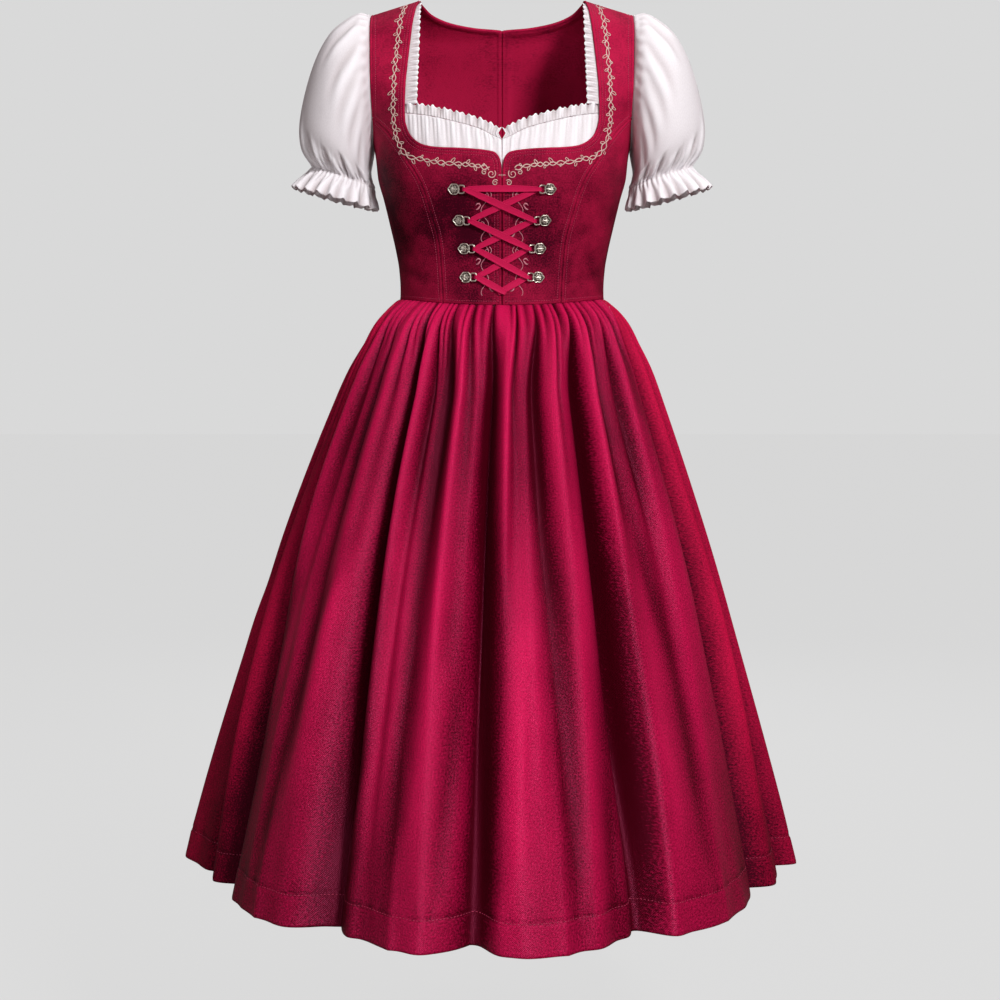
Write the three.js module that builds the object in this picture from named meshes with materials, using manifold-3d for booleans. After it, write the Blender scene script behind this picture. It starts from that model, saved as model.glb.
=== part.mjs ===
// A dirndl in its worn, hollow form, with the short blouse that goes with it.
// The laced bodice has four panels on each side, cut with curved princess seams. The skirt is three
// widths of cloth, gathered to the waist. The blouse shows as a gathered front with a ruffle, a frill
// under each strap and two puff sleeves. Eight metal hooks and one flat lace close the front.
// Units are millimetres, +Z is up and the front faces -Y. +X is the wearer's left. The origin lies
// midway between the two shoulder seams, where the shoulders carry the dress.
import * as THREE from "three";
import { mergeVertices } from "three/addons/utils/BufferGeometryUtils.js";
import Module from "manifold-3d";

const wasm = await Module();
wasm.setup();

// Driving dimensions: a bodice for a 73 cm waist, and a skirt of midi length
const WAIST_Z = -385;
const WAIST_DIP = 12;
const HEM_Z = -1090;
const NECK_X = 105;
const SHOULDER_X = 168;
const SHOULDER_DROP = 19;
const UNDERARM_Z = -188;
const BODICE_CLOTH = 2;
const SKIRT_CLOTH = 1.5;
const BLOUSE_CLOTH = 1.2;
const SEAM_GAP = 0.3;

const MATERIALS = {
  velvet: new THREE.MeshStandardMaterial({ color: 0x8a1236, roughness: 0.75, metalness: 0 }),
  satin: new THREE.MeshStandardMaterial({ color: 0xa01845, roughness: 0.4, metalness: 0 }),
  cotton: new THREE.MeshStandardMaterial({ color: 0xf1eef0, roughness: 0.85, metalness: 0 }),
  ribbon: new THREE.MeshStandardMaterial({ color: 0xb01848, roughness: 0.5, metalness: 0 }),
  silver: new THREE.MeshStandardMaterial({ color: 0xa39c92, roughness: 0.4, metalness: 1 }),
};

// The body section at each height: half width, and depth in front of and behind the side seam
const TORSO = [
  { z: -402, half: 131, front: 103, back: 88 },
  { z: -385, half: 130, front: 102, back: 86.5 },
  { z: -372, half: 129.8, front: 102, back: 85.5 },
  { z: -346, half: 131.5, front: 103.5, back: 84.5 },
  { z: -320, half: 136, front: 107, back: 85 },
  { z: -294, half: 142, front: 113, back: 87 },
  { z: -255, half: 151.5, front: 122.5, back: 92.5 },
  { z: -229, half: 158.6, front: 125, back: 96 },
  { z: -203, half: 161.5, front: 121.5, back: 98 },
  { z: -188, half: 164, front: 118, back: 98.5 },
  { z: -172, half: 167, front: 113, back: 98.5 },
  { z: -156, half: 173, front: 107, back: 98 },
  { z: -134, half: 188, front: 97, back: 96 },
  { z: -105, half: 222, front: 84, back: 91 },
  { z: -80, half: 243, front: 72, back: 84 },
  { z: -50, half: 245, front: 61, back: 71 },
  { z: 0, half: 245, front: 52, back: 46 },
];
const SQUARENESS = 2.4;
const SHOULDER_ROUND = 40;
const SLOPE_FADE = { from: -160, to: -60 };
// Small steps over which the body form's slope is taken, kept below the shoulder ridge
const SLOPE_STEP = { bearing: 0.004, z: 0.4, highest: -1.5 };

// Seam lines, as the distance from the centre line at each height
const FRONT_PRINCESS = [
  { z: -398, x: 72 },
  { z: -325, x: 77 },
  { z: -281, x: 88 },
  { z: -246, x: 100 },
  { z: -216, x: 118 },
  { z: -196, x: 131 },
  { z: -180, x: 142 },
  { z: -167, x: 153 },
  { z: -156, x: 163.2 },
];
const BACK_PRINCESS = [
  { z: -398, x: 52 },
  { z: -330, x: 58 },
  { z: -280, x: 70 },
  { z: -230, x: 88 },
  { z: -190, x: 108 },
  { z: -160, x: 128 },
  { z: -135, x: 149 },
  { z: -118, x: 161.7 },
];
const FRONT_ARMHOLE = [
  { z: -188, x: 164 },
  { z: -172, x: 163 },
  { z: -156, x: 163.2 },
  { z: -134, x: 164.3 },
  { z: -105, x: 165.5 },
  { z: -75, x: 166.5 },
  { z: -46, x: 167.3 },
  { z: -19, x: 168 },
];
const BACK_ARMHOLE = [
  { z: -188, x: 164 },
  { z: -172, x: 162.6 },
  { z: -156, x: 161.8 },
  { z: -134, x: 161.5 },
  { z: -105, x: 162 },
  { z: -75, x: 163.6 },
  { z: -46, x: 165.6 },
  { z: -19, x: 168 },
];

// Each row of a panel runs from its inner edge to its outer edge. The lowest row is the waist seam.
const FRONT_ROWS = [
  { innerX: 1, innerZ: -397, outerZ: -394 },
  { innerX: 1, innerZ: -374, outerZ: -373 },
  { innerX: 1, innerZ: -352, outerZ: -352 },
  { innerX: 1, innerZ: -330, outerZ: -331 },
  { innerX: 1, innerZ: -308, outerZ: -310 },
  { innerX: 1, innerZ: -286, outerZ: -289 },
  { innerX: 1, innerZ: -264, outerZ: -268 },
  { innerX: 1, innerZ: -243, outerZ: -250 },
  { innerX: 1.5, innerZ: -228, outerZ: -237 },
  { innerX: 4, innerZ: -219, outerZ: -229 },
  { innerX: 10, innerZ: -212.5, outerZ: -223 },
  { innerX: 24, innerZ: -209.5, outerZ: -217 },
  { innerX: 50, innerZ: -207, outerZ: -211 },
  { innerX: 76, innerZ: -205, outerZ: -204 },
  { innerX: 94, innerZ: -201.5, outerZ: -196 },
  { innerX: 107, innerZ: -194, outerZ: -187 },
  { innerX: 116, innerZ: -182, outerZ: -177 },
  { innerX: 120.5, innerZ: -165, outerZ: -166 },
  { innerX: 121, innerZ: -146, outerZ: -157 },
  { innerX: 120.5, innerZ: -123, outerZ: -137 },
  { innerX: 118.8, innerZ: -100, outerZ: -115 },
  { innerX: 117, innerZ: -78, outerZ: -93.5 },
  { innerX: 115, innerZ: -57, outerZ: -75 },
  { innerX: 113, innerZ: -40, outerZ: -59.5 },
  { innerX: 111, innerZ: -26.3, outerZ: -45.6 },
  { innerX: 109.5, innerZ: -17, outerZ: -36.2 },
  { innerX: 107.7, innerZ: -9.4, outerZ: -28.5 },
  { innerX: 106.2, innerZ: -4, outerZ: -23 },
  { innerX: 105.3, innerZ: -1, outerZ: -20 },
  { innerX: NECK_X, innerZ: 0, outerZ: -SHOULDER_DROP },
];
const BACK_ROWS = [
  { innerX: 0.2, innerZ: -385, outerZ: -385 },
  { innerX: 0.2, innerZ: -335, outerZ: -335 },
  { innerX: 0.2, innerZ: -285, outerZ: -285 },
  { innerX: 0.2, innerZ: -235, outerZ: -238 },
  { innerX: 0.2, innerZ: -192, outerZ: -200 },
  { innerX: 0.2, innerZ: -176, outerZ: -188 },
  { innerX: 0.2, innerZ: -158, outerZ: -176 },
  { innerX: 0.2, innerZ: -139, outerZ: -162 },
  { innerX: 0.2, innerZ: -119, outerZ: -146 },
  { innerX: 0.2, innerZ: -95, outerZ: -128 },
  { innerX: 0.2, innerZ: -75, outerZ: -116 },
  { innerX: 0.2, innerZ: -57, outerZ: -94 },
  { innerX: 0.2, innerZ: -42, outerZ: -74 },
  { innerX: 0.2, innerZ: -31, outerZ: -58 },
  { innerX: 0.2, innerZ: -24, outerZ: -45.5 },
  { innerX: 36, innerZ: -21, outerZ: -36 },
  { innerX: 69, innerZ: -16, outerZ: -28.5 },
  { innerX: 92, innerZ: -8.5, outerZ: -22.5 },
  { innerX: 101, innerZ: -2.5, outerZ: -20 },
  { innerX: NECK_X, innerZ: 0, outerZ: -SHOULDER_DROP },
];
// The outer edge of a side panel climbs the side seam, then follows the armhole
const SIDE_FRONT_EDGE = [
  { inner: -394, outer: -385 },
  { inner: -325, outer: -315 },
  { inner: -268, outer: -258 },
  { inner: -229, outer: -215 },
  { inner: -211, outer: UNDERARM_Z },
  { inner: -196, outer: -186.5 },
  { inner: -177, outer: -178 },
  { inner: -157, outer: -158.5 },
];
const SIDE_BACK_EDGE = [
  { inner: -385, outer: -385 },
  { inner: -285, outer: -275 },
  { inner: -238, outer: -228 },
  { inner: -200, outer: UNDERARM_Z },
  { inner: -188, outer: -186.4 },
  { inner: -176, outer: -182.5 },
  { inner: -162, outer: -173 },
  { inner: -146, outer: -158 },
  { inner: -128, outer: -137 },
  { inner: -118, outer: -120 },
];
const FRONT_PANEL_COLUMNS = 8;
const BACK_PANEL_COLUMNS = 8;
const SIDE_PANEL_COLUMNS = 5;

// The skirt's mean form by the drop below the waist seam, with the height of its gathers and folds
const SKIRT = [
  { drop: 0, half: 130, front: 102, back: 87, gather: 1.6, fold: 0 },
  { drop: 6, half: 136, front: 108, back: 93, gather: 2.2, fold: 0.6 },
  { drop: 16, half: 146, front: 118, back: 104, gather: 2.6, fold: 1.6 },
  { drop: 32, half: 157, front: 131, back: 119, gather: 2.2, fold: 4 },
  { drop: 55, half: 168, front: 145, back: 136, gather: 1.2, fold: 7 },
  { drop: 90, half: 185, front: 166, back: 159, gather: 0, fold: 10 },
  { drop: 140, half: 204, front: 190, back: 185, gather: 0, fold: 12 },
  { drop: 220, half: 232.5, front: 224, back: 221, gather: 0, fold: 14 },
  { drop: 330, half: 268.5, front: 266, back: 264, gather: 0, fold: 16 },
  { drop: 450, half: 303, front: 306, back: 304, gather: 0, fold: 18 },
  { drop: 570, half: 336, front: 343, back: 341, gather: 0, fold: 20 },
  { drop: 660, half: 359, front: 371, back: 369, gather: 0, fold: 21 },
  { drop: 705, half: 369, front: 383, back: 381, gather: 0, fold: 22 },
];
// The skirt's front valleys: the bearing from the centre front and the depth, high up and at the hem.
// The first and the last are the seams between the front width and the side widths.
const FRONT_VALLEYS = [
  { top: -71, hem: -60.5, upper: 1, lower: 1 },
  { top: -51, hem: -44, upper: 0.35, lower: -0.6 },
  { top: -33, hem: -28.5, upper: 1, lower: 1 },
  { top: -19, hem: -16, upper: 0.8, lower: -0.75 },
  { top: -2, hem: -3.5, upper: 1, lower: 0.7 },
  { top: 13, hem: 12, upper: 0.8, lower: -0.85 },
  { top: 30, hem: 26, upper: 1, lower: 1 },
  { top: 49, hem: 43, upper: 0.35, lower: -0.4 },
  { top: 68, hem: 60.5, upper: 1, lower: 1 },
];
const BACK_FOLDS = 18;
const BACK_UPPER = [0.4, 1, 0.6, 0.9, 0.35, 1];
const BACK_LOWER = [-0.5, 0.9, -0.3, 1, -0.6, 0.8];
const BACK_SWAY = { degrees: 2.2, rate: 2.3 };
const CREST = 0.75;
const RIDGE_FULLNESS = 0.8;
const ROUND_BELOW = 120;
const COLUMNS_PER_FOLD = 8;
// The skirt hangs a little to the wearer's right, mostly from its upper part
const SKIRT_LEAN = { hem: -13, easing: 2.2 };
// Rows of the skirt's mesh by the share of the way down, with the step between its columns
const SKIRT_ROWS = [
  { down: 0, step: 1 },
  { down: 0.018, step: 1 },
  { down: 0.05, step: 1 },
  { down: 0.1, step: 2 },
  { down: 0.17, step: 2 },
  { down: 0.27, step: 2 },
  { down: 0.42, step: 2 },
  { down: 0.6, step: 2 },
  { down: 0.8, step: 2 },
  { down: 1, step: 2 },
];

// Rings that take the sleeve through the armhole: past its edge, and out of the body form
const ARMHOLE_RINGS = [
  { past: -2, out: -3.2 },
  { past: 1.5, out: -3.2 },
  { past: 1.5, out: 2.2 },
];
// Rings of the sleeve: its outer side, its side next to the body, its half depth and its wave height
const SLEEVE = [
  { outX: 174, outZ: -17.5, inX: 167.5, inZ: -196, depth: 66, wave: 1 },
  { outX: 184, outZ: -16, inX: 168, inZ: -203, depth: 73, wave: 1.6 },
  { outX: 201, outZ: -24.5, inX: 169, inZ: -210, depth: 78, wave: 1.5 },
  { outX: 221, outZ: -42, inX: 170, inZ: -216, depth: 80, wave: 1 },
  { outX: 239, outZ: -74, inX: 170, inZ: -221.5, depth: 79, wave: 0.8 },
  { outX: 253, outZ: -117, inX: 169, inZ: -226.5, depth: 75, wave: 1 },
  { outX: 261, outZ: -160, inX: 168, inZ: -231, depth: 68, wave: 1.5 },
  { outX: 258.5, outZ: -190, inX: 167, inZ: -235, depth: 57, wave: 1.6 },
  { outX: 246, outZ: -210, inX: 166, inZ: -239, depth: 46, wave: 1.2 },
  { outX: 247, outZ: -216, inX: 165.5, inZ: -244, depth: 46, wave: 1.2 },
  { outX: 260, outZ: -228, inX: 164, inZ: -256, depth: 54, wave: 3 },
  { outX: 270, outZ: -240, inX: 162.5, inZ: -269, depth: 61, wave: 4.5 },
];
const ARM_CENTRE_X = 230;
const PUFF_COLUMNS = 20;
const CUFF_COLUMNS = 40;
const FIRST_CUFF_RING = 8;

// The gathered top edge of the blouse front, on which its ruffle stands
const BLOUSE_TOP = [
  { x: 0.3, z: -196 },
  { x: 16, z: -187 },
  { x: 32, z: -180 },
  { x: 63, z: -170.5 },
  { x: 94, z: -162.5 },
  { x: 126, z: -157 },
];
const BLOUSE_FOOT_Z = -244;
const BLOUSE_WAVES = 8;
const BLOUSE_OUT = -3.2;
const RUFFLE_HEIGHT = 14;

// The frill along each strap's inner edge, as the width that shows past the strap
const FRILL = [
  { z: -142.3, edge: 121, shows: 15 },
  { z: -110, edge: 119.6, shows: 14.5 },
  { z: -75, edge: 116.8, shows: 12.5 },
  { z: -40, edge: 113, shows: 9.5 },
  { z: -12, edge: 108.4, shows: 5 },
  { z: -6, edge: 106.8, shows: 3.5 },
];
const FRILL_WAVES = 12;
const FRILL_WAVE = 0.8;
const FRILL_HIDDEN = 8;
const FRILL_OUT = -2.3;

// Hooks and the lace that runs through their rings
const HOOKS = [
  { x: 58, z: -257 },
  { x: 52, z: -294 },
  { x: 46, z: -328 },
  { x: 44, z: -363 },
];
const ROSETTE = { radius: 7.4, lobe: 0.5, lobes: 6, thick: 2.2 };
const RING = { centre: 9.6, halfWidth: 3.8, halfHeight: 4.8, wire: 0.9, lift: 3.1, steps: 12, sides: 5 };
const LACE = { width: 8.5, narrow: 4.8, thick: 1.2, wrap: 1.85, under: 1.2, over: 3.1 };
const LACE_END = { x: 5, z: -383 };
// The lace's way from ring to ring, and whether it reaches each ring over or under the ring's wire
const LACE_STOPS = [
  { hook: 4, side: -1, reaches: "over" },
  { hook: 3, side: 1, reaches: "under" },
  { hook: 2, side: -1, reaches: "over" },
  { hook: 1, side: 1, reaches: "under" },
  { hook: 1, side: -1, reaches: "under" },
  { hook: 2, side: 1, reaches: "over" },
  { hook: 3, side: -1, reaches: "under" },
  { hook: 4, side: 1, reaches: "over" },
];
const STRAND_STEPS = 7;
const WRAP_STEPS = 5;

const vector = (x, y, z) => new THREE.Vector3(x, y, z);
const mix = (a, b, t) => a + (b - a) * t;
const clamp01 = (t) => Math.min(1, Math.max(0, t));
const smooth = (t) => clamp01(t) ** 2 * (3 - 2 * clamp01(t));
const signedPower = (value, power) => Math.sign(value) * Math.abs(value) ** power;

// A smooth curve through one column of a table, with no overshoot and level beyond its ends
function through(table, by, key) {
  const rows = [...table].sort((a, b) => a[by] - b[by]);
  const last = rows.length - 1;
  const slope = (i) => (rows[i + 1][key] - rows[i][key]) / (rows[i + 1][by] - rows[i][by]);
  const tangent = rows.map((row, i) => {
    if (i === 0) return slope(0);
    if (i === last) return slope(last - 1);
    const [before, after] = [slope(i - 1), slope(i)];
    return before * after <= 0 ? 0 : (2 * before * after) / (before + after);
  });
  return (value) => {
    if (value <= rows[0][by]) return rows[0][key];
    if (value >= rows[last][by]) return rows[last][key];
    const i = rows.findIndex((row) => row[by] > value) - 1;
    const span = rows[i + 1][by] - rows[i][by];
    const t = (value - rows[i][by]) / span;
    const s = 1 - t;
    return (
      rows[i][key] * (1 + 2 * t) * s * s +
      tangent[i] * span * t * s * s +
      rows[i + 1][key] * t * t * (3 - 2 * t) -
      tangent[i + 1] * span * t * t * s
    );
  };
}

const torsoHalf = through(TORSO, "z", "half");
const torsoFront = through(TORSO, "z", "front");
const torsoBack = through(TORSO, "z", "back");
const frontPrincess = through(FRONT_PRINCESS, "z", "x");
const backPrincess = through(BACK_PRINCESS, "z", "x");
const frontArmhole = through(FRONT_ARMHOLE, "z", "x");
const backArmhole = through(BACK_ARMHOLE, "z", "x");

// The waist seam lies level at the sides and back and dips to the centre front
function waistZ(bearing) {
  return WAIST_Z - WAIST_DIP * Math.max(0, Math.cos(bearing)) ** 2;
}

// A point of the body form: bearing 0 is the centre front, a half turn is the centre back
function torsoPoint(bearing, z) {
  const power = 2 / SQUARENESS;
  const x = torsoHalf(z) * signedPower(Math.sin(bearing), power);
  const slope = SHOULDER_DROP / (SHOULDER_X - NECK_X);
  const share = smooth((z - SLOPE_FADE.from) / (SLOPE_FADE.to - SLOPE_FADE.from));
  const height = Math.min(0, z + slope * Math.max(0, Math.abs(x) - NECK_X) * share);
  const round = Math.sqrt(1 - clamp01(1 + height / SHOULDER_ROUND) ** 2);
  const depth = (Math.cos(bearing) >= 0 ? torsoFront : torsoBack)(height) * round;
  return vector(x, -depth * signedPower(Math.cos(bearing), power), z);
}

// The direction out of the body form
function torsoNormal(bearing, z) {
  const turn = SLOPE_STEP.bearing;
  const low = Math.min(z, SLOPE_STEP.highest);
  const across = torsoPoint(bearing + turn, low).sub(torsoPoint(bearing - turn, low));
  const up = torsoPoint(bearing, low + SLOPE_STEP.z).sub(torsoPoint(bearing, low - SLOPE_STEP.z));
  return across.cross(up).normalize();
}

// The bearing at which the body form is x wide, in front or behind
function bearingAt(x, z, behind = false) {
  const front = Math.asin(clamp01(x / torsoHalf(z)) ** (SQUARENESS / 2));
  return behind ? Math.PI - front : front;
}

// A point at x on the body form, moved out along its normal
function onTorso(x, z, out, behind = false) {
  const bearing = bearingAt(x, z, behind);
  return torsoPoint(bearing, z).addScaledVector(torsoNormal(bearing, z), out);
}

// A closed geometry from corners and faces, turned so that its faces point out
function solidGeometry(points, faces) {
  const volume = faces.reduce((sum, [a, b, c]) => {
    return sum + points[a].dot(new THREE.Vector3().crossVectors(points[b], points[c]));
  }, 0);
  const geometry = new THREE.BufferGeometry().setFromPoints(points);
  geometry.setIndex(faces.flatMap(([a, b, c]) => (volume < 0 ? [a, c, b] : [a, b, c])));
  geometry.computeVertexNormals();
  return geometry;
}

// Faces between two rows of corner numbers, where the lower row may be half as long
function stitch(upper, lower, wrap) {
  const open = wrap ? 0 : 1;
  const halved = upper.length - open > lower.length - open;
  const faces = [];
  for (let j = 0; j < lower.length - open; j += 1) {
    const left = lower[j];
    const right = lower[(j + 1) % lower.length];
    if (halved) {
      const [a, middle, b] = [upper[2 * j], upper[2 * j + 1], upper[(2 * j + 2) % upper.length]];
      faces.push([a, left, middle], [left, right, middle], [middle, right, b]);
    } else {
      const [a, b] = [upper[j], upper[(j + 1) % upper.length]];
      faces.push([a, left, right], [a, right, b]);
    }
  }
  return faces;
}

// A cloth wall between an outer and an inner sheet of points, given as rows
function wall(outerRows, innerRows, wrap = false) {
  const points = [...outerRows, ...innerRows].flat();
  let next = 0;
  const number = (rows) => rows.map((row) => row.map(() => next++));
  const outer = number(outerRows);
  const inner = number(innerRows);
  const last = outer.length - 1;
  const faces = [];
  for (let i = 0; i < last; i += 1) {
    faces.push(...stitch(outer[i], outer[i + 1], wrap));
    faces.push(...stitch(inner[i], inner[i + 1], wrap).map(([a, b, c]) => [a, c, b]));
  }
  faces.push(...stitch(inner[0], outer[0], wrap), ...stitch(outer[last], inner[last], wrap));
  if (!wrap) {
    const start = (rows) => rows.map((row) => row[0]);
    const end = (rows) => rows.map((row) => row[row.length - 1]);
    faces.push(...stitch(start(outer), start(inner)), ...stitch(end(inner), end(outer)));
  }
  return solidGeometry(points, faces);
}

// The two sheets of a tube's wall, half its thickness to each side of rows of middle points
function bothSheets(rows, thickness) {
  const pick = (row, share) => {
    const place = share * row.length;
    const low = Math.floor(place);
    return row[low % row.length].clone().lerp(row[(low + 1) % row.length], place - low);
  };
  const sheet = (sign) =>
    rows.map((row, i) =>
      row.map((point, j) => {
        const share = j / row.length;
        const west = row[(j + row.length - 1) % row.length];
        const east = row[(j + 1) % row.length];
        const above = pick(rows[Math.max(0, i - 1)], share);
        const below = pick(rows[Math.min(rows.length - 1, i + 1)], share);
        const normal = east.clone().sub(west).cross(below.sub(above)).normalize();
        return point.clone().addScaledVector(normal, (sign * thickness) / 2);
      }),
    );
  return [sheet(1), sheet(-1)];
}

// The same sheet with its two side edges drawn in, so that neighbours stay apart at a seam
function drawIn(sheet) {
  const toward = (edge, next) =>
    edge.clone().addScaledVector(next.clone().sub(edge).normalize(), SEAM_GAP / 2);
  return sheet.map((row) => {
    const end = row.length - 1;
    return [toward(row[0], row[1]), ...row.slice(1, end), toward(row[end], row[end - 1])];
  });
}

const toSide = (rows, side) => rows.map((row) => row.map((p) => vector(p.x * side, p.y, p.z)));

// A bodice panel, given the bearing and height at each share along each row
function panel(rows, columns, side, behind, placeAt) {
  const face = behind ? 1 : -1;
  const sheet = (out) =>
    rows.map((row) => {
      const line = [];
      for (let j = 0; j <= columns; j += 1) {
        const { bearing, z } = placeAt(row, j / columns);
        const point = torsoPoint(bearing, z).addScaledVector(torsoNormal(bearing, z), out);
        point.y = face * Math.max(face * point.y, SEAM_GAP / 2);
        line.push(point);
      }
      return line;
    });
  const half = BODICE_CLOTH / 2;
  return wall(drawIn(toSide(sheet(half), side)), drawIn(toSide(sheet(-half), side)));
}

// A front or back panel with its strap, whose rows run straight across the figure
function strapPanel(rows, columns, side, behind, outerX) {
  return panel(rows, columns, side, behind, (row, share) => {
    const x = mix(row.innerX, outerX(row.outerZ), share);
    const level = mix(row.innerZ, row.outerZ, share);
    const z = row === rows[0] ? waistZ(bearingAt(x, level, behind)) : level;
    return { bearing: bearingAt(x, z, behind), z };
  });
}

// A side panel between a princess seam and the side seam, whose rows run round the body
function sidePanel(strapRows, edge, columns, side, behind, innerX, armholeX) {
  const top = edge[edge.length - 1].inner;
  const outerOf = through(edge, "inner", "outer");
  const rows = strapRows.filter((row) => row.outerZ <= top);
  return panel(rows, columns, side, behind, (row, share) => {
    const outerZ = outerOf(row.outerZ);
    const inner = bearingAt(innerX(row.outerZ), row.outerZ, behind);
    const onSeam = outerZ <= UNDERARM_Z;
    const outer = onSeam ? Math.PI / 2 : bearingAt(armholeX(outerZ), outerZ, behind);
    const bearing = mix(inner, outer, share);
    return { bearing, z: row === rows[0] ? waistZ(bearing) : mix(row.outerZ, outerZ, share) };
  });
}

const FRONT_TIP_Z = FRONT_PRINCESS[FRONT_PRINCESS.length - 1].z;
const BACK_TIP_Z = BACK_PRINCESS[BACK_PRINCESS.length - 1].z;
const frontOuterX = (z) => (z < FRONT_TIP_Z ? frontPrincess : frontArmhole)(z);
const backOuterX = (z) => (z < BACK_TIP_Z ? backPrincess : backArmhole)(z);

const front = (side) => strapPanel(FRONT_ROWS, FRONT_PANEL_COLUMNS, side, false, frontOuterX);
const back = (side) => strapPanel(BACK_ROWS, BACK_PANEL_COLUMNS, side, true, backOuterX);
const sideFront = (side) =>
  sidePanel(FRONT_ROWS, SIDE_FRONT_EDGE, SIDE_PANEL_COLUMNS, side, false, frontPrincess, frontArmhole);
const sideBack = (side) =>
  sidePanel(BACK_ROWS, SIDE_BACK_EDGE, SIDE_PANEL_COLUMNS, side, true, backPrincess, backArmhole);

// The skirt's valleys all the way round, those behind spaced by a rule
function skirtValleys() {
  const first = FRONT_VALLEYS[0];
  const last = FRONT_VALLEYS[FRONT_VALLEYS.length - 1];
  const valleys = [...FRONT_VALLEYS];
  for (let k = 1; k < BACK_FOLDS; k += 1) {
    const sway = BACK_SWAY.degrees * Math.sin(BACK_SWAY.rate * k);
    valleys.push({
      top: mix(last.top, first.top + 360, k / BACK_FOLDS) + sway,
      hem: mix(last.hem, first.hem + 360, k / BACK_FOLDS) + sway,
      upper: BACK_UPPER[k % BACK_UPPER.length],
      lower: BACK_LOWER[k % BACK_LOWER.length],
    });
  }
  return [...valleys, { ...first, top: first.top + 360, hem: first.hem + 360 }];
}

const VALLEYS = skirtValleys();
const FOLDS = VALLEYS.length - 1;
const SKIRT_LENGTH = SKIRT[SKIRT.length - 1].drop;
const skirtCurve = Object.fromEntries(
  ["half", "front", "back", "gather", "fold"].map((key) => [key, through(SKIRT, "drop", key)]),
);

// A point of the skirt at one column, a share of the way down
function skirtPoint(column, down) {
  const fold = Math.floor(column / COLUMNS_PER_FOLD);
  const t = column / COLUMNS_PER_FOLD - fold;
  const [here, next] = [VALLEYS[fold], VALLEYS[fold + 1]];
  const bearingOf = (valley) => mix(valley.top, valley.hem, down);
  const bearing = THREE.MathUtils.degToRad(mix(bearingOf(here), bearingOf(next), t));
  const drop = down * SKIRT_LENGTH;
  const depthOf = (valley) => mix(valley.upper, valley.lower, smooth(down));
  const valley = mix(depthOf(here), depthOf(next), t);
  const ridge = Math.sin(Math.PI * t) ** RIDGE_FULLNESS;
  const folded = skirtCurve.fold(drop) * (ridge * CREST - (1 - ridge) * valley);
  const gathered = skirtCurve.gather(drop) * (column % 2 ? 1 : -1);
  const grow = folded + gathered;
  const power = 2 / mix(SQUARENESS, 2, smooth(drop / ROUND_BELOW));
  const [sine, cosine] = [Math.sin(bearing), Math.cos(bearing)];
  const depth = (cosine >= 0 ? skirtCurve.front : skirtCurve.back)(drop);
  const lean = SKIRT_LEAN.hem * (1 - (1 - down) ** SKIRT_LEAN.easing);
  return vector(
    skirtCurve.half(drop) * signedPower(sine, power) + sine * grow + lean,
    -depth * signedPower(cosine, power) - cosine * grow,
    mix(waistZ(bearing) - SEAM_GAP, HEM_Z, down),
  );
}

// The two sheets of the whole skirt, from which each width is a cut
function skirtSheets() {
  const rows = SKIRT_ROWS.map(({ down, step }) => {
    const row = [];
    for (let column = 0; column < FOLDS * COLUMNS_PER_FOLD; column += step) {
      row.push(skirtPoint(column, down));
    }
    return row;
  });
  return bothSheets(rows, SKIRT_CLOTH).map(([top, ...others]) => [
    top.map((point, j) => vector(point.x, point.y, rows[0][j].z)),
    ...others,
  ]);
}

// One width of the skirt, between two of its valleys
function skirtWidth(sheets, fromValley, toValley) {
  const [outer, inner] = sheets.map((sheet) =>
    drawIn(
      sheet.map((row, i) => {
        const perFold = COLUMNS_PER_FOLD / SKIRT_ROWS[i].step;
        return [...row, row[0]].slice(fromValley * perFold, toValley * perFold + 1);
      }),
    ),
  );
  return wall(outer, inner);
}

// A point near the armhole's edge: turn 0 is the shoulder, and the front comes first
function armholePoint(turn, { past, out }) {
  const middle = (UNDERARM_Z - SHOULDER_DROP) / 2;
  const reach = (-SHOULDER_DROP - UNDERARM_Z) / 2;
  const edgeAt = (angle) => {
    const z = middle + reach * Math.cos(angle);
    const behind = Math.sin(angle) < 0;
    const bearing = bearingAt((behind ? backArmhole : frontArmhole)(z), z, behind);
    return { bearing, z, point: torsoPoint(bearing, z) };
  };
  const { bearing, z, point } = edgeAt(turn);
  const along = edgeAt(turn + 0.01).point.sub(edgeAt(turn - 0.01).point);
  const normal = torsoNormal(bearing, z);
  const outboard = along.cross(normal).normalize();
  if (outboard.dot(vector(ARM_CENTRE_X, 0, middle).sub(point)) < 0) outboard.negate();
  return point.addScaledVector(outboard, past).addScaledVector(normal, out);
}

// A puff sleeve with its gathered band and frill, as one tube
function sleeve(side) {
  const turns = (count) => Array.from({ length: count }, (_, j) => (2 * Math.PI * j) / count);
  const throughArmhole = ARMHOLE_RINGS.map((ring) =>
    turns(PUFF_COLUMNS).map((turn) => armholePoint(turn, ring)),
  );
  const puff = SLEEVE.map((ring, k) => {
    const halfX = (ring.outX - ring.inX) / 2;
    const halfZ = (ring.outZ - ring.inZ) / 2;
    const radius = Math.hypot(halfX, halfZ);
    return turns(k < FIRST_CUFF_RING ? PUFF_COLUMNS : CUFF_COLUMNS).map((turn, j) => {
      const grow = ring.wave * (j % 2 ? -1 : 1);
      const along = (Math.cos(turn) * (radius + grow)) / radius;
      return vector(
        ring.inX + halfX + halfX * along,
        -Math.sin(turn) * (ring.depth + grow),
        ring.inZ + halfZ + halfZ * along,
      );
    });
  });
  const rows = toSide([...throughArmhole, ...puff].reverse(), side);
  return wall(...bothSheets(rows, BLOUSE_CLOTH), true);
}

const blouseTop = through(BLOUSE_TOP, "x", "z");

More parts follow.
